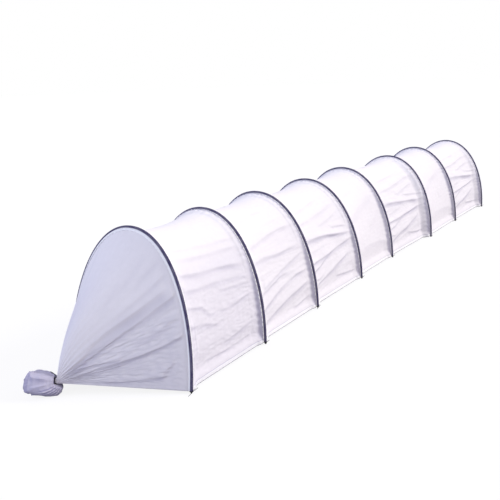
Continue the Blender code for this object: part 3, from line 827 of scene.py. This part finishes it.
class Gap:
    """The room between two hoops, with lines of points across it at some shares of the arch."""

    def __init__(self, hoops, n, shares, rises, cover):
        self.n, self.near, self.far, self.shares, self.rises = n, hoops[n], hoops[n + 1], shares, rises
        self.start = self.near.at(shares, cover.lap, rises[-1][1])
        self.across = self.far.at(shares, -cover.lap, rises[-1][1]) - self.start
        self.free = float(np.linalg.norm(self.across, axis=-1).mean())
        self.part = bay_columns(self.free, cover)

    def rows(self, deep):
        """Lines from sleeve to sleeve, this deep inside the straight ones between them."""
        inward = -unit(self.near.outward(self.shares) + self.far.outward(self.shares))
        deep = deep + clear_depth(self.across, inward, self.part, self.free)
        middle = self.start[:, None] + self.across[:, None] * self.part[None, :, None]
        middle = middle + inward[:, None] * deep[..., None]
        first = [self.near.at(self.shares, d, level) for d, level in self.rises]
        last = [self.far.at(self.shares, -d, level) for d, level in self.rises[::-1]]
        return np.concatenate((np.stack(first, 1), middle, np.stack(last, 1)), axis=1)

    def blend(self, piece):
        """Bakes a piece's place into its mesh.

        It works out where a piece would start, just before the near pipe, and end, just past the far one,
        but uses neither.
        """
        lean = (self.near.lean + self.far.lean) / 2
        way = np.array((0, math.cos(lean), -math.sin(lean)))
        shares, past = np.linspace(0, 1, 60), 14 * MM
        start = tuple(way * max(self.near.at(shares, -past) @ way))
        end = tuple(way * min(self.far.at(shares, past) @ way))
        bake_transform(piece)


class TUNNEL_OT_bays(bpy.types.Operator):
    """Hang the fleece between each two hoops, with its folds, creases and hems"""

    bl_idname = "tunnel.bays"
    bl_label = "Cover bays"

    def execute(self, context):
        hoops, sizes, cover, _ = tunnel_of(context)
        rises = seat(cover, sizes.pipe_radius)
        for n in range(HOOP_COUNT - 1):
            span = (hoops[n].arc + hoops[n + 1].arc) / 2
            seam = cover.hem_strip + np.array((-3, -1, 0, 1, 3)) * MM
            shares = np.unique(np.concatenate((np.linspace(0, 1, BAY_ROWS), seam / span, 1 - seam / span)))
            gap = Gap(hoops, n, shares, rises, cover)
            height, along = np.meshgrid(shares * span, gap.part * gap.free, indexing="ij")
            deep, shade_paint = bay_depth(cover, n, height, span, along, gap.free)
            low = np.minimum(height, span - height)
            strip = 1 - smooth(low, cover.hem_strip, cover.hem_strip + 2 * MM)
            stitched = np.exp(-(((low - cover.hem_strip) / (1.6 * MM)) ** 2))
            grid = gap.rows(deep + 1.2 * MM * stitched - 0.5 * MM * strip)
            right, left = hem_rows(grid[0], -1, cover), hem_rows(grid[-1], 1, cover)
            grid = np.concatenate((np.stack(right[::-1]), grid, np.stack(left)))
            rim = ((len(right), len(left)), (len(rises), len(rises)))
            # painted shade, with a dark line painted along the hem strip's seam as the shade of its groove
            bay_shade_paint = np.clip(shade_paint + 0.6 * stitched, 0, 1)
            # the hem rows are painted dark: partly the dark cord showing through the thin fleece, partly
            # painted shadow along the hem's lower edge
            marks = {
                "sewn": np.pad(strip, rim, mode="edge"),
                "painted_shade": np.pad(bay_shade_paint, rim, mode="edge"),
                "cord_and_hem_shadow": np.pad(bay_shade_paint * 0, rim, constant_values=((1, 1), (0, 0))),
            }
            # the flat map: metres up the arch from the first hem, and metres along the tunnel
            extra = np.arange(len(right), 0, -1) * 2 * MM
            height = np.concatenate((-extra, shares * span, span + extra[::-1]))
            lapped = cover.lap - np.array([d for d, _ in rises])
            along = np.concatenate((-lapped, gap.part * gap.free, gap.free + lapped[::-1]))
            spread = np.stack(np.meshgrid(height, along, indexing="ij"), axis=-1)
            piece = cloth(f"fleece_bay_{n + 1}", grid, spread, cover.thickness, marks)
            finish_piece(piece, "cover_fleece", None, f"cover_bay_{n + 1}")
            gap.blend(piece)
        return {"FINISHED"}


class TUNNEL_OT_hem_cords(bpy.types.Operator):
    """Run the cord through each bay's hem, on both sides"""

    bl_idname = "tunnel.hem_cords"
    bl_label = "Hem cords"

    def execute(self, context):
        hoops, sizes, cover, _ = tunnel_of(context)
        first, *others = seat(cover, sizes.pipe_radius)
        for n in range(HOOP_COUNT - 1):
            for side, left in SIDES:
                gap = Gap(hoops, n, np.array([float(left)]), ((4 * MM, first[1]), *others), cover)
                near = np.minimum(gap.part, 1 - gap.part) * gap.free
                way = 1 if left else -1
                under = np.array((way * cover.hem_radius, 0, -0.6 * MM - cover.cord_radius))
                line = gap.rows(hem_inset(cover, near))[0] + under
                piece = bar(f"hem_line_{side}_{n + 1}", line, cover.cord_radius, 8)
                finish_piece(piece, "cord", None, f"hem_cord_{side}_{n + 1}")
                gap.blend(piece)
        return {"FINISHED"}


class End:
    """One gathered end: its hoop, the way it points, and its neck."""

    def __init__(self, word, hoops, sizes):
        front = word == "front"
        self.hoop, self.way = (hoops[0], -1) if front else (hoops[-1], 1)
        which = 1 if front else HOOP_COUNT
        self.body, self.pipe = f"station_{which}", f"pipe_{which}"
        turn = math.radians(58)
        self.axis = np.array((-math.sin(turn), self.way * math.cos(turn), 0))
        self.across = np.array((math.cos(turn), self.way * math.sin(turn), 0))
        self.up = np.array((0, 0, 1.0))
        foot = self.hoop.y + self.way * sizes.ahead
        self.neck = np.array((NECK_X - sizes.aside, foot, sizes.height))

    def turn(self, shares):
        """How far the cloth turns in from straight ahead, where it leaves the pipe at these shares."""
        to_neck = self.neck - self.hoop.at(shares)
        ahead = self.way * np.array((0, math.cos(self.hoop.lean), -math.sin(self.hoop.lean)))
        inward = -(to_neck * self.hoop.outward(shares)).sum(axis=-1)
        return 0.75 * np.arctan2(inward, to_neck @ ahead)

    def strip(self, shares, run, out):
        """The cloth at a run past the pipe's middle, before it leaves the sewn strip."""
        turned = self.turn(shares)
        return self.hoop.at(shares, self.way * run * np.cos(turned), out - run * np.sin(turned))

    def ring(self, angle):
        return self.across * np.cos(angle)[..., None] + self.up * np.sin(angle)[..., None]


NECK_X = 0.0073  # the feet's middle line, across the tunnel
NECK_PLEATS = 26  # pleats round a neck

# Folds of a gathered end, from its hoop (0) to its neck (1), as the bays' folds are given: first the
# side that the camera sees, then the other one
END_FOLDS = (
    (0.4, 1.2, (0, 0.15, 0.3), (0.365, 0.366, 0.357)),
    (0.35, 1.5, (0.1, 0.22, 0.4), (0.415, 0.405, 0.386)),
    (0.3, 1.5, (0.3, 0.5), (0.43, 0.383)),
    (0.6, 1.3, (0.04, 0.2, 0.35, 0.5), (0.322, 0.317, 0.314, 0.308)),
    (1.7, 2.6, (0.08, 0.3, 0.5, 0.6, 0.72, 0.95), (0.287, 0.283, 0.283, 0.272, 0.248, 0.235)),
    (1.1, 1.2, (0, 0.15, 0.3, 0.45, 0.6, 0.8), (0.26, 0.255, 0.243, 0.231, 0.216, 0.203)),
    (1.3, 1.1, (0, 0.2, 0.3, 0.65, 0.9), (0.152, 0.138, 0.133, 0.13, 0.122)),
    (0.9, 0.8, (0.45, 0.62, 0.72, 0.9), (0.142, 0.155, 0.172, 0.19)),
    (0.7, 0.8, (0.45, 0.6, 0.9), (0.108, 0.104, 0.098)),
    (0.6, 0.9, (0.1, 0.18, 0.3), (0.08, 0.052, 0.04)),
    (1.1, 0.9, (0.15, 0.3, 0.5, 0.75), (0.044, 0.038, 0.034, 0.028)),
    (0.5, 1, (0, 0.2, 0.4), (0.196, 0.186, 0.172)),
)
OTHER_END_FOLDS = (
    (0.3, 1.6, (0, 0.3, 0.6), (0.39, 0.37, 0.35)),
    (0.6, 1.6, (0, 0.4, 0.9), (0.31, 0.3, 0.27)),
    (0.7, 1.4, (0, 0.4, 0.9), (0.24, 0.225, 0.21)),
    (0.8, 1.2, (0, 0.4, 0.9), (0.16, 0.15, 0.14)),
    (0.7, 1, (0, 0.4, 0.9), (0.08, 0.075, 0.07)),
)


class TUNNEL_OT_ends(bpy.types.Operator):
    """Gather the cover past each end hoop into its neck"""

    bl_idname = "tunnel.ends"
    bl_label = "Gathered ends"

    def execute(self, context):
        hoops, sizes, cover, ends = tunnel_of(context)
        rises = seat(cover, sizes.pipe_radius)
        for word in ("front", "back"):
            end = End(word, hoops, ends)
            grid, spread, marks = self.surface(end, cover, ends, rises)
            piece = cloth(f"{word}_gathered_end", grid, spread, cover.thickness, marks, end.way > 0)
            finish_piece(piece, "cover_fleece", end.body, f"{word}_end_panel")
        return {"FINISHED"}

    def surface(self, end, cover, ends, rises):
        """The pleated cloth from the hoop to the neck, and its flat map."""
        shares = np.linspace(0, 1, END_ROWS)
        stretches = ((0, 0.06, 7), (0.06, 0.9, 62), (0.9, 1, 14))
        part = np.unique(np.concatenate([np.linspace(*stretch) for stretch in stretches]))
        start = end.strip(shares, cover.lap, rises[-1][1])
        slit = math.radians(10)  # under the neck, between the cloth's two hems
        angle = slit / 2 - math.pi / 2 + (2 * math.pi - slit) * shares
        gather = ends.radius + 1.2 * MM * np.cos(NECK_PLEATS * angle)
        finish = end.neck + end.ring(angle) * gather[:, None] - end.axis * ends.neck / 2
        s, p = np.meshgrid(shares, part, indexing="ij")
        # the cloth reaches ahead before it comes down, fullest at the crown and halfway
        nose = ends.nose * np.sin(math.pi * p) * np.sin(math.pi * s)
        reach = np.minimum(p + nose * p, 1)
        flat = start[:, None] + (finish - start)[:, None] * p[..., None]
        point = start[:, None] + (finish - start)[:, None] * reach[..., None]
        point[..., 2] = flat[..., 2]
        middle = end.hoop.place(np.array((0.0, end.hoop.height / 2)), 0.0)
        core = middle + (end.neck - middle) * p[..., None]
        away = unit(flat - core)
        noise = Crumple(71 if end.way < 0 else 83)
        crown = len(shares) // 2
        far = float(np.linalg.norm(finish[crown] - start[crown]))
        held = smooth(p, 0, 0.035) * (1 - smooth(p, 0.86, 0.99))
        side = np.minimum(s, 1 - s)
        size = end.hoop.arc * (1 - 0.88 * p)
        lift, shade_paint = 0, 0
        for lines, share in ((END_FOLDS, s), (OTHER_END_FOLDS, 1 - s)):
            raised, dark = folded(lines, p, share, size, cover, noise)
            lift, shade_paint = lift + 0.8 * raised, shade_paint + dark
        # painted shade towards the neck on the side that is drawn over
        shade_paint = shade_paint + 0.2 * smooth(s, 0.42, 0.6) * smooth(p, 0.05, 0.7)
        crumpled = 1 - smooth(side, 0.19, 0.27)
        paper = noise.paper(s * end.hoop.arc / 0.04, p * far / 0.11) - 0.9
        lift = (lift * smooth(side, 0, 0.02) + 4.5 * MM * crumpled * paper * smooth(side, 0, 0.03)) * held
        ripple = np.cos(NECK_PLEATS * angle)[:, None] * 1.2 * MM * smooth(p, 0.8, 0.99)
        point = point + away * (lift + ripple)[..., None]
        # painted shade in the crumpled cloth low on both sides
        shade_paint = np.clip(shade_paint * held + 0.16 * crumpled * smooth(p, 0, 0.1) * (0.6 + 0.5 * paper), 0, 1)
        strip = [end.strip(shares, d, level) for d, level in rises]
        past = np.array((4, 8, 11.8)) * MM
        neck = [finish + end.axis * d for d in past]
        grid = np.concatenate((np.stack(strip, 1), point, np.stack(neck, 1)), axis=1)
        lapped = cover.lap - np.array([d for d, _ in rises])
        along = np.concatenate((-lapped, part * far, far + past))
        spread = np.stack(np.meshgrid(shares * end.hoop.arc, along, indexing="ij"), axis=-1)
        edge = np.broadcast_to(1 - smooth(along, -0.7 * cover.lap, -0.4 * cover.lap), grid.shape[:2])
        painted_shade = np.pad(shade_paint, ((0, 0), (len(rises), len(past))), mode="edge")
        return grid, spread, {"sewn": edge, "painted_shade": painted_shade}


TAIL_GIRTH = 0.62  # metres of cloth round a loose tail, laid flat
# How wide a loose tail is, as a share of its full width, from its neck (0) to its mouth (1)
TAIL_SWELL = ((0, 0.2), (0.04, 0.54), (0.12, 0.72), (0.38, 0.93), (0.62, 1.0), (0.82, 1.0), (1.0, 0.91))
# How a loose tail is folded in at its mouth: share of the mouth's width, and millimetres back inside
TAIL_MOUTH = ((0.95, -1), (0.86, 5), (0.72, 20), (0.52, 38), (0.3, 54), (0.12, 62))
# How far the edge of a loose tail stands out, in metres, at degrees round it from its side
TAIL_EDGE = (
    (-90, -0.036), (-70, -0.034), (-40, -0.04), (-15, -0.012), (20, -0.004), (50, -0.008),
    (85, -0.026), (110, -0.026), (180, -0.01), (235, -0.03), (270, -0.036),
)
# Folds of a loose tail, from its neck to its mouth, with the share counted round it from underneath
TAIL_FOLDS = (
    (0.9, 0.7, (0.15, 0.5, 0.68, 1), (0.385, 0.392, 0.4, 0.48)),
    (0.5, 0.9, (0.2, 0.5, 0.8), (0.3, 0.29, 0.27)),
    (0.6, 0.8, (0.1, 0.45, 0.8), (0.2, 0.17, 0.14)),
    (0.7, 0.9, (0.15, 0.5, 0.9), (0.62, 0.64, 0.6)),
    (0.7, 0.9, (0.1, 0.5, 0.9), (0.8, 0.78, 0.82)),
)


class TUNNEL_OT_tails(bpy.types.Operator):
    """Spread the loose cloth past each neck, puffed out and folded in at its mouth"""

    bl_idname = "tunnel.tails"
    bl_label = "Loose tails"

    def execute(self, context):
        hoops, _, cover, ends = tunnel_of(context)
        for word in ("front", "back"):
            end = End(word, hoops, ends)
            grid, spread, marks = self.surface(end, cover, ends)
            piece = cloth(f"{word}_loose_tail", grid, spread, cover.thickness, marks, end.way > 0, True)
            finish_piece(piece, "cover_fleece", end.body, f"{word}_tail")
        return {"FINISHED"}

    def surface(self, end, cover, ends):
        """The bunch from the neck out to its mouth and back inside it, its flat map and its painted shade.
        """
        around = np.arange(TAIL_ROWS) / TAIL_ROWS
        angle = 2 * math.pi * around - math.pi / 2
        noise = Crumple(97 if end.way < 0 else 101)
        part = np.concatenate((np.linspace(0, 0.12, 9), np.linspace(0.12, 1, 42)[1:]))
        swell = np.interp(part, *zip(*TAIL_SWELL))
        a, p = np.meshgrid(angle, part, indexing="ij")
        share = np.broadcast_to(around[:, None], a.shape)
        big = np.broadcast_to(swell, a.shape)
        rise = np.sin(a)
        size = math.pi * (ends.tail_width + ends.tail_height) / 2 * big
        fold, dark = folded(TAIL_FOLDS, p, share, size, cover, noise)
        # tight pleats where the cloth falls back under the neck
        under = smooth(-rise, 0.0, 0.3) * (1 - smooth(p, 0.3, 0.6))
        pleat = 1 - 2 * np.abs(np.sin(12 * a + 1.0 * noise(np.cos(a) * 2, p * 2)))
        soft = 5 * MM * np.cos(5 * a + 0.7) + 3 * MM * noise.creased(np.cos(a) * 2 + 5, rise * 2 + p * 1.3)
        peak = 18 * MM * np.exp(-(((a - math.radians(85)) / 0.35) ** 2)) * smooth(p, 0.6, 1.0)
        pleated = pleat * 3.6 * MM * (under + 0.08 * (1 - p)) * smooth(p, 0.02, 0.1)
        lift = (soft + fold * 0.8) * big + pleated + peak
        wide, high = ends.tail_width / 2 * big + lift, ends.tail_height / 2 * big + lift
        belly = ends.belly * np.maximum(-rise, 0) * np.sin(math.pi * p) ** 0.35
        # the mouth's edge is cut with corners, one at the top and one low down at the side
        edge = np.interp(np.degrees(a), *zip(*TAIL_EDGE)) * smooth(p, 0.6, 1.0)
        # puffed cloth overhangs the cord
        hung = 16 * MM * np.exp(-(((p - 0.04) / 0.035) ** 2)) * smooth(p, 0, 0.03)
        out = ends.neck / 2 + ends.tail * p - belly + edge - hung
        centre = end.neck + end.axis * out[..., None]
        centre[..., 2] += (ends.tail_height / 2 - ends.height) * big
        point = centre + end.across * (wide * np.cos(a))[..., None]
        point[..., 2] += high * rise
        gather = (ends.radius + 1.0 * MM * np.cos(NECK_PLEATS * angle))[:, None]
        neck = [end.neck + end.ring(angle) * gather + end.axis * d for d in (0.4 * MM, 6 * MM)]
        mouth = []
        middle = point[:, -1].mean(axis=0)
        for inside, back in TAIL_MOUTH:
            ruffle = 1 + 0.1 * np.cos(9 * angle + inside * 5)[:, None]
            mouth.append(middle + (point[:, -1] - middle) * inside * ruffle - end.axis * back * MM)
        grid = np.concatenate((np.stack(neck, 1), point, np.stack(mouth, 1)), axis=1)
        grid[..., 2] = np.maximum(grid[..., 2], 0.8 * MM)
        # painted shade: the whole tail darker, more so towards its mouth, in its folds and in the pleats'
        # valleys under the neck
        shade_paint = 0.66 + 0.16 * smooth(p, 0.81, 0.84) + 0.6 * dark
        shade_paint = shade_paint + under * (0.9 * smooth(-pleat, 0, 1) - 0.15)
        along = run_along(grid[TAIL_ROWS // 2])
        girth = np.arange(TAIL_ROWS + 1) / TAIL_ROWS * TAIL_GIRTH
        spread = np.stack(np.meshgrid(girth, along, indexing="ij"), axis=-1)
        painted_shade = np.pad(np.clip(shade_paint, 0, 1), ((0, 0), (len(neck), len(mouth))), mode="edge")
        return grid, spread, {"sewn": grid[..., 0] * 0, "painted_shade": painted_shade}


# A neck tie's loose end, from its tip to the neck: across, past the neck and up, in metres
NECK_BEND = ((0.009, 0.03, 0.041), (0.006, 0.014, 0.036), (0.003, -0.001, 0.024), (0.001, -0.003, 0.01))


class TUNNEL_OT_neck_ties(bpy.types.Operator):
    """Wind a cord round each neck and leave its two ends standing off"""

    bl_idname = "tunnel.neck_ties"
    bl_label = "Neck ties"

    def execute(self, context):
        hoops, _, cover, ends = tunnel_of(context)
        for word in ("front", "back"):
            end = End(word, hoops, ends)
            radius = ends.radius + 1.5 * MM + cover.cord_radius
            steps = np.arange(ends.turns * TURN_STEPS + 1) / TURN_STEPS
            angle = 2 * math.pi * steps + math.pi / 2
            along = 4 * MM * (steps - ends.turns / 2) - 3 * MM
            coil = end.neck + end.ring(angle) * radius + end.axis * along[:, None]
            first, last = (
                [coil[tip] + way * end.across * a + end.axis * b + end.up * c for a, b, c in NECK_BEND]
                for tip, way in ((0, 1), (-1, -1))
            )
            piece = bar(f"{word}_tie", np.array([*first, *coil, *last[::-1]]), cover.cord_radius, 10)
            finish_piece(piece, "cord", end.body, f"{word}_tie_cord")
        return {"FINISHED"}


class TUNNEL_OT_foot_ties(bpy.types.Operator):
    """Tie a cord round the foot of each hoop, over the sleeve's end"""

    bl_idname = "tunnel.foot_ties"
    bl_label = "Foot ties"

    def execute(self, context):
        hoops, sizes, cover, _ = tunnel_of(context)
        radius = sizes.pipe_radius + 0.8 * MM + cover.cord_radius
        for n, hoop in enumerate(hoops):
            for side, left in SIDES:
                line = self.route(n, hoop, left, radius, cover.hem_height)
                piece = bar(f"foot_tie_{side}_{n + 1}", line, cover.cord_radius * 0.9, 8)
                finish_piece(piece, "cord", f"station_{n + 1}")
        return {"FINISHED"}

    def route(self, n, hoop, left, radius, hem_height):
        """Two turns round the foot, with a short end on each side of the tunnel's line."""
        outward = -1 if left else 1
        front, back = FOOT_TIE_TABLE[n]
        steps = np.linspace(0, 2, 41)
        turn = 2 * math.pi * steps
        height = hem_height - 2 * MM + 3.6 * MM * steps / 2
        middle = np.array([hoop.leg(left, h) for h in height])
        side = np.stack((outward * np.cos(turn), np.sin(turn), turn * 0), axis=-1)
        coil = middle + side * radius
        first = [coil[0] + np.array((outward * a, -b * front, -c)) for a, b, c in END_BEND]
        last = [coil[-1] + np.array((outward * a, b * back, c)) for a, b, c in reversed(END_BEND)]
        return np.array([*first, *coil, *last])


# A tie's loose end, from its tip to the foot: out, along and up or down from where it leaves the foot
END_BEND = ((0.006, 1.0, 0.007), (0.004, 0.6, 0.004), (0.002, 0.25, 0.0))
# How long each foot tie's two ends are, towards the front and towards the back
FOOT_TIE_TABLE = (
    (0.055, 0.05), (0.018, 0.03), (0.045, 0.02), (0.016, 0.028),
    (0.02, 0.03), (0.016, 0.02), (0.015, 0.018), (0.014, 0.032),
)


# The stage


# The camera, fitted to the photograph's hoops: its place, the directions of its right, its down and
# its view, and its focal length in pixels of a picture 500 pixels wide
EYE = (3.34838, -6.52773, 2.11622)
EYE_RIGHT = (0.82643757, 0.56193285, -0.03510566)
EYE_DOWN = (0.1201959, -0.23699963, -0.9640457)
EYE_AHEAD = (-0.55004898, 0.79250404, -0.26340743)
FOCAL, PICTURE, SENSOR = 678.62, 500, 36
# Each lamp: its name, its direction, how wide it is in the sky in degrees, its strength and colour
LAMPS = (
    ("key_lamp", (4.9, 3.9, 3.6), 22, 2.35, (1.0, 0.975, 0.94)),
    ("fill_lamp", (-2.6, -4.4, 3.0), 40, 1.05, (0.64, 0.76, 1.0)),
)
# The light from all round: low down on the warmer side and on the bluer one, and from above
LOW_WARM, LOW_BLUE = (0.50, 0.49, 0.475, 1), (0.34, 0.39, 0.64, 1)
HIGH = (0.72, 0.70, 0.74, 1)
BLUER_WAY = (-0.72, -0.69, 0)
FLOOR_RADIUS = 60
# How bright the floor glows for the camera, and how much of what it sees is that glow
FLOOR_GLOW, GLOW_SHARE = 1.32, 0.66


def seen_plain(tree):
    """1 for the rays that see the plain white studio: the camera's, the mirrored and the refracted ones."""
    rays = node(tree, "ShaderNodeLightPath")
    links = ((0, rays, "Is Camera Ray"), (1, rays, "Is Glossy Ray"))
    either = node(tree, "ShaderNodeMath", links, operation="MAXIMUM")
    links = ((0, either, 0), (1, rays, "Is Transmission Ray"))
    return node(tree, "ShaderNodeMath", links, operation="MAXIMUM")


class TUNNEL_OT_stage(bpy.types.Operator):
    """Lay the floor, set the lamps and place the camera"""

    bl_idname = "tunnel.stage"
    bl_label = "Stage"

    def execute(self, context):
        self.camera(context)
        self.floor(context)
        self.world(context)
        for lamp in LAMPS:
            self.lamp(context, *lamp)
        context.scene.view_settings.view_transform = "Standard"
        return {"FINISHED"}

    def camera(self, context):
        """A camera at the photograph's place."""
        data = bpy.data.cameras.new("camera")
        data.sensor_width = SENSOR
        data.lens = FOCAL / PICTURE * SENSOR
        data.clip_end = 200
        eye = bpy.data.objects.new("camera", data)
        turn = Matrix((EYE_RIGHT, [-v for v in EYE_DOWN], [-v for v in EYE_AHEAD])).transposed().to_4x4()
        eye.matrix_world = Matrix.Translation(EYE) @ turn
        context.scene.collection.objects.link(eye)
        context.scene.camera = eye

    def floor(self, context):
        """A plain painted floor, far larger than the tunnel."""
        deselect_all()
        bpy.ops.mesh.primitive_circle_add(
            vertices=96, radius=FLOOR_RADIUS, fill_type="NGON", location=(0, 0, -0.5 * MM)
        )
        floor = context.object
        floor.name = "studio_floor"
        bpy.ops.object.transform_apply(location=True, rotation=True, scale=True)
        made, tree, shader = new_material("painted_studio_floor", Roughness=0.9)
        pale = context.scene.tunnel_looks.floor
        # the paint's own unevenness, 0.3 m and more across and hardly visible
        cloud = node(tree, "ShaderNodeTexNoise", on_piece(tree), Scale=1.5, Detail=2.0)
        tones = between(tree, cloud, "Fac", shade(pale, 0.99), shade(pale))
        join(tree, shader, ("Base Color", tones, 2))
        # the camera sees the floor lit up to white, with the tunnel's shadow left in it
        glow = node(tree, "ShaderNodeEmission", Color=(1, 1, 1, 1), Strength=FLOOR_GLOW)
        share = node(tree, "ShaderNodeMath", ((0, seen_plain(tree), 0),), operation="MULTIPLY")
        share.inputs[1].default_value = GLOW_SHARE
        mix = node(tree, "ShaderNodeMixShader", ((0, share, 0), (1, shader, 0), (2, glow, 0)))
        join(tree, tree.nodes["Material Output"], ("Surface", mix, 0))
        floor.data.materials.append(made)

    def world(self, context):
        """Even lilac-white light from all round, seen by the camera as plain white."""
        made = bpy.data.worlds.new("studio")
        context.scene.world = made
        made.use_nodes = True
        tree = made.node_tree
        around = tree.nodes["Background"]
        way = node(tree, "ShaderNodeTexCoord")
        parts = node(tree, "ShaderNodeSeparateXYZ", (("Vector", way, "Generated"),))
        rise = ranged(tree, parts, "Z", (-0.15, 0.95), kind="SMOOTHSTEP")
        # low down the light is bluer from the front left and warmer from the right
        front = node(tree, "ShaderNodeVectorMath", ((0, way, "Generated"),), operation="DOT_PRODUCT")
        front.inputs[1].default_value = BLUER_WAY
        bluer = ranged(tree, front, "Value", (-0.3, 0.8), kind="SMOOTHSTEP")
        low = between(tree, bluer, "Result", LOW_WARM, LOW_BLUE)
        links = (("Factor", rise, "Result"), ("A", low, 2))
        sky = node(tree, "ShaderNodeMix", links, data_type="RGBA", B=HIGH)
        join(tree, around, ("Color", sky, 2))
        white = node(tree, "ShaderNodeBackground", Color=(1, 1, 1, 1), Strength=1.0)
        mix = node(tree, "ShaderNodeMixShader", ((0, seen_plain(tree), 0), (1, around, 0), (2, white, 0)))
        join(tree, tree.nodes["World Output"], ("Surface", mix, 0))

    def lamp(self, context, name, place, spread, power, tone):
        """A far soft lamp, as wide in the sky as its spread in degrees."""
        data = bpy.data.lights.new(name, "SUN")
        data.angle, data.energy, data.color = math.radians(spread), power, tone
        lamp = bpy.data.objects.new(name, data)
        aim = (-Vector(place)).to_track_quat("-Z", "Y").to_matrix().to_4x4()
        lamp.matrix_world = Matrix.Translation(place) @ aim
        context.scene.collection.objects.link(lamp)


class TUNNEL_PT_panel(bpy.types.Panel):
    """Lists the tunnel's sizes, colours and steps in the sidebar"""

    bl_idname = "TUNNEL_PT_panel"
    bl_label = "Row cover tunnel"
    bl_space_type = "VIEW_3D"
    bl_region_type = "UI"
    bl_category = "Tunnel"

    def draw(self, context):
        for name in GROUPS:
            box = self.layout.box()
            group = getattr(context.scene, name)
            for key in group.__annotations__:
                box.prop(group, key)
        for step in STEPS:
            self.layout.operator(step.bl_idname)


GROUPS = {
    "tunnel_hoops": TunnelHoops,
    "tunnel_cover": TunnelCover,
    "tunnel_ends": TunnelEnds,
    "tunnel_looks": TunnelLooks,
}
STEPS = (
    TUNNEL_OT_stage,
    TUNNEL_OT_pipes,
    TUNNEL_OT_plugs,
    TUNNEL_OT_sleeves,
    TUNNEL_OT_bays,
    TUNNEL_OT_hem_cords,
    TUNNEL_OT_ends,
    TUNNEL_OT_tails,
    TUNNEL_OT_neck_ties,
    TUNNEL_OT_foot_ties,
)
CLASSES = (*GROUPS.values(), *STEPS, TUNNEL_PT_panel)


def register():
    for made in CLASSES:
        bpy.utils.register_class(made)
    for name, group in GROUPS.items():
        setattr(bpy.types.Scene, name, PointerProperty(type=group))


def unregister():
    for name in GROUPS:
        delattr(bpy.types.Scene, name)
    for made in reversed(CLASSES):
        bpy.utils.unregister_class(made)


def main():
    register()
    for step in STEPS:
        area, name = step.bl_idname.split(".")
        getattr(getattr(bpy.ops, area), name)()


if __name__ == "__main__":
    main()
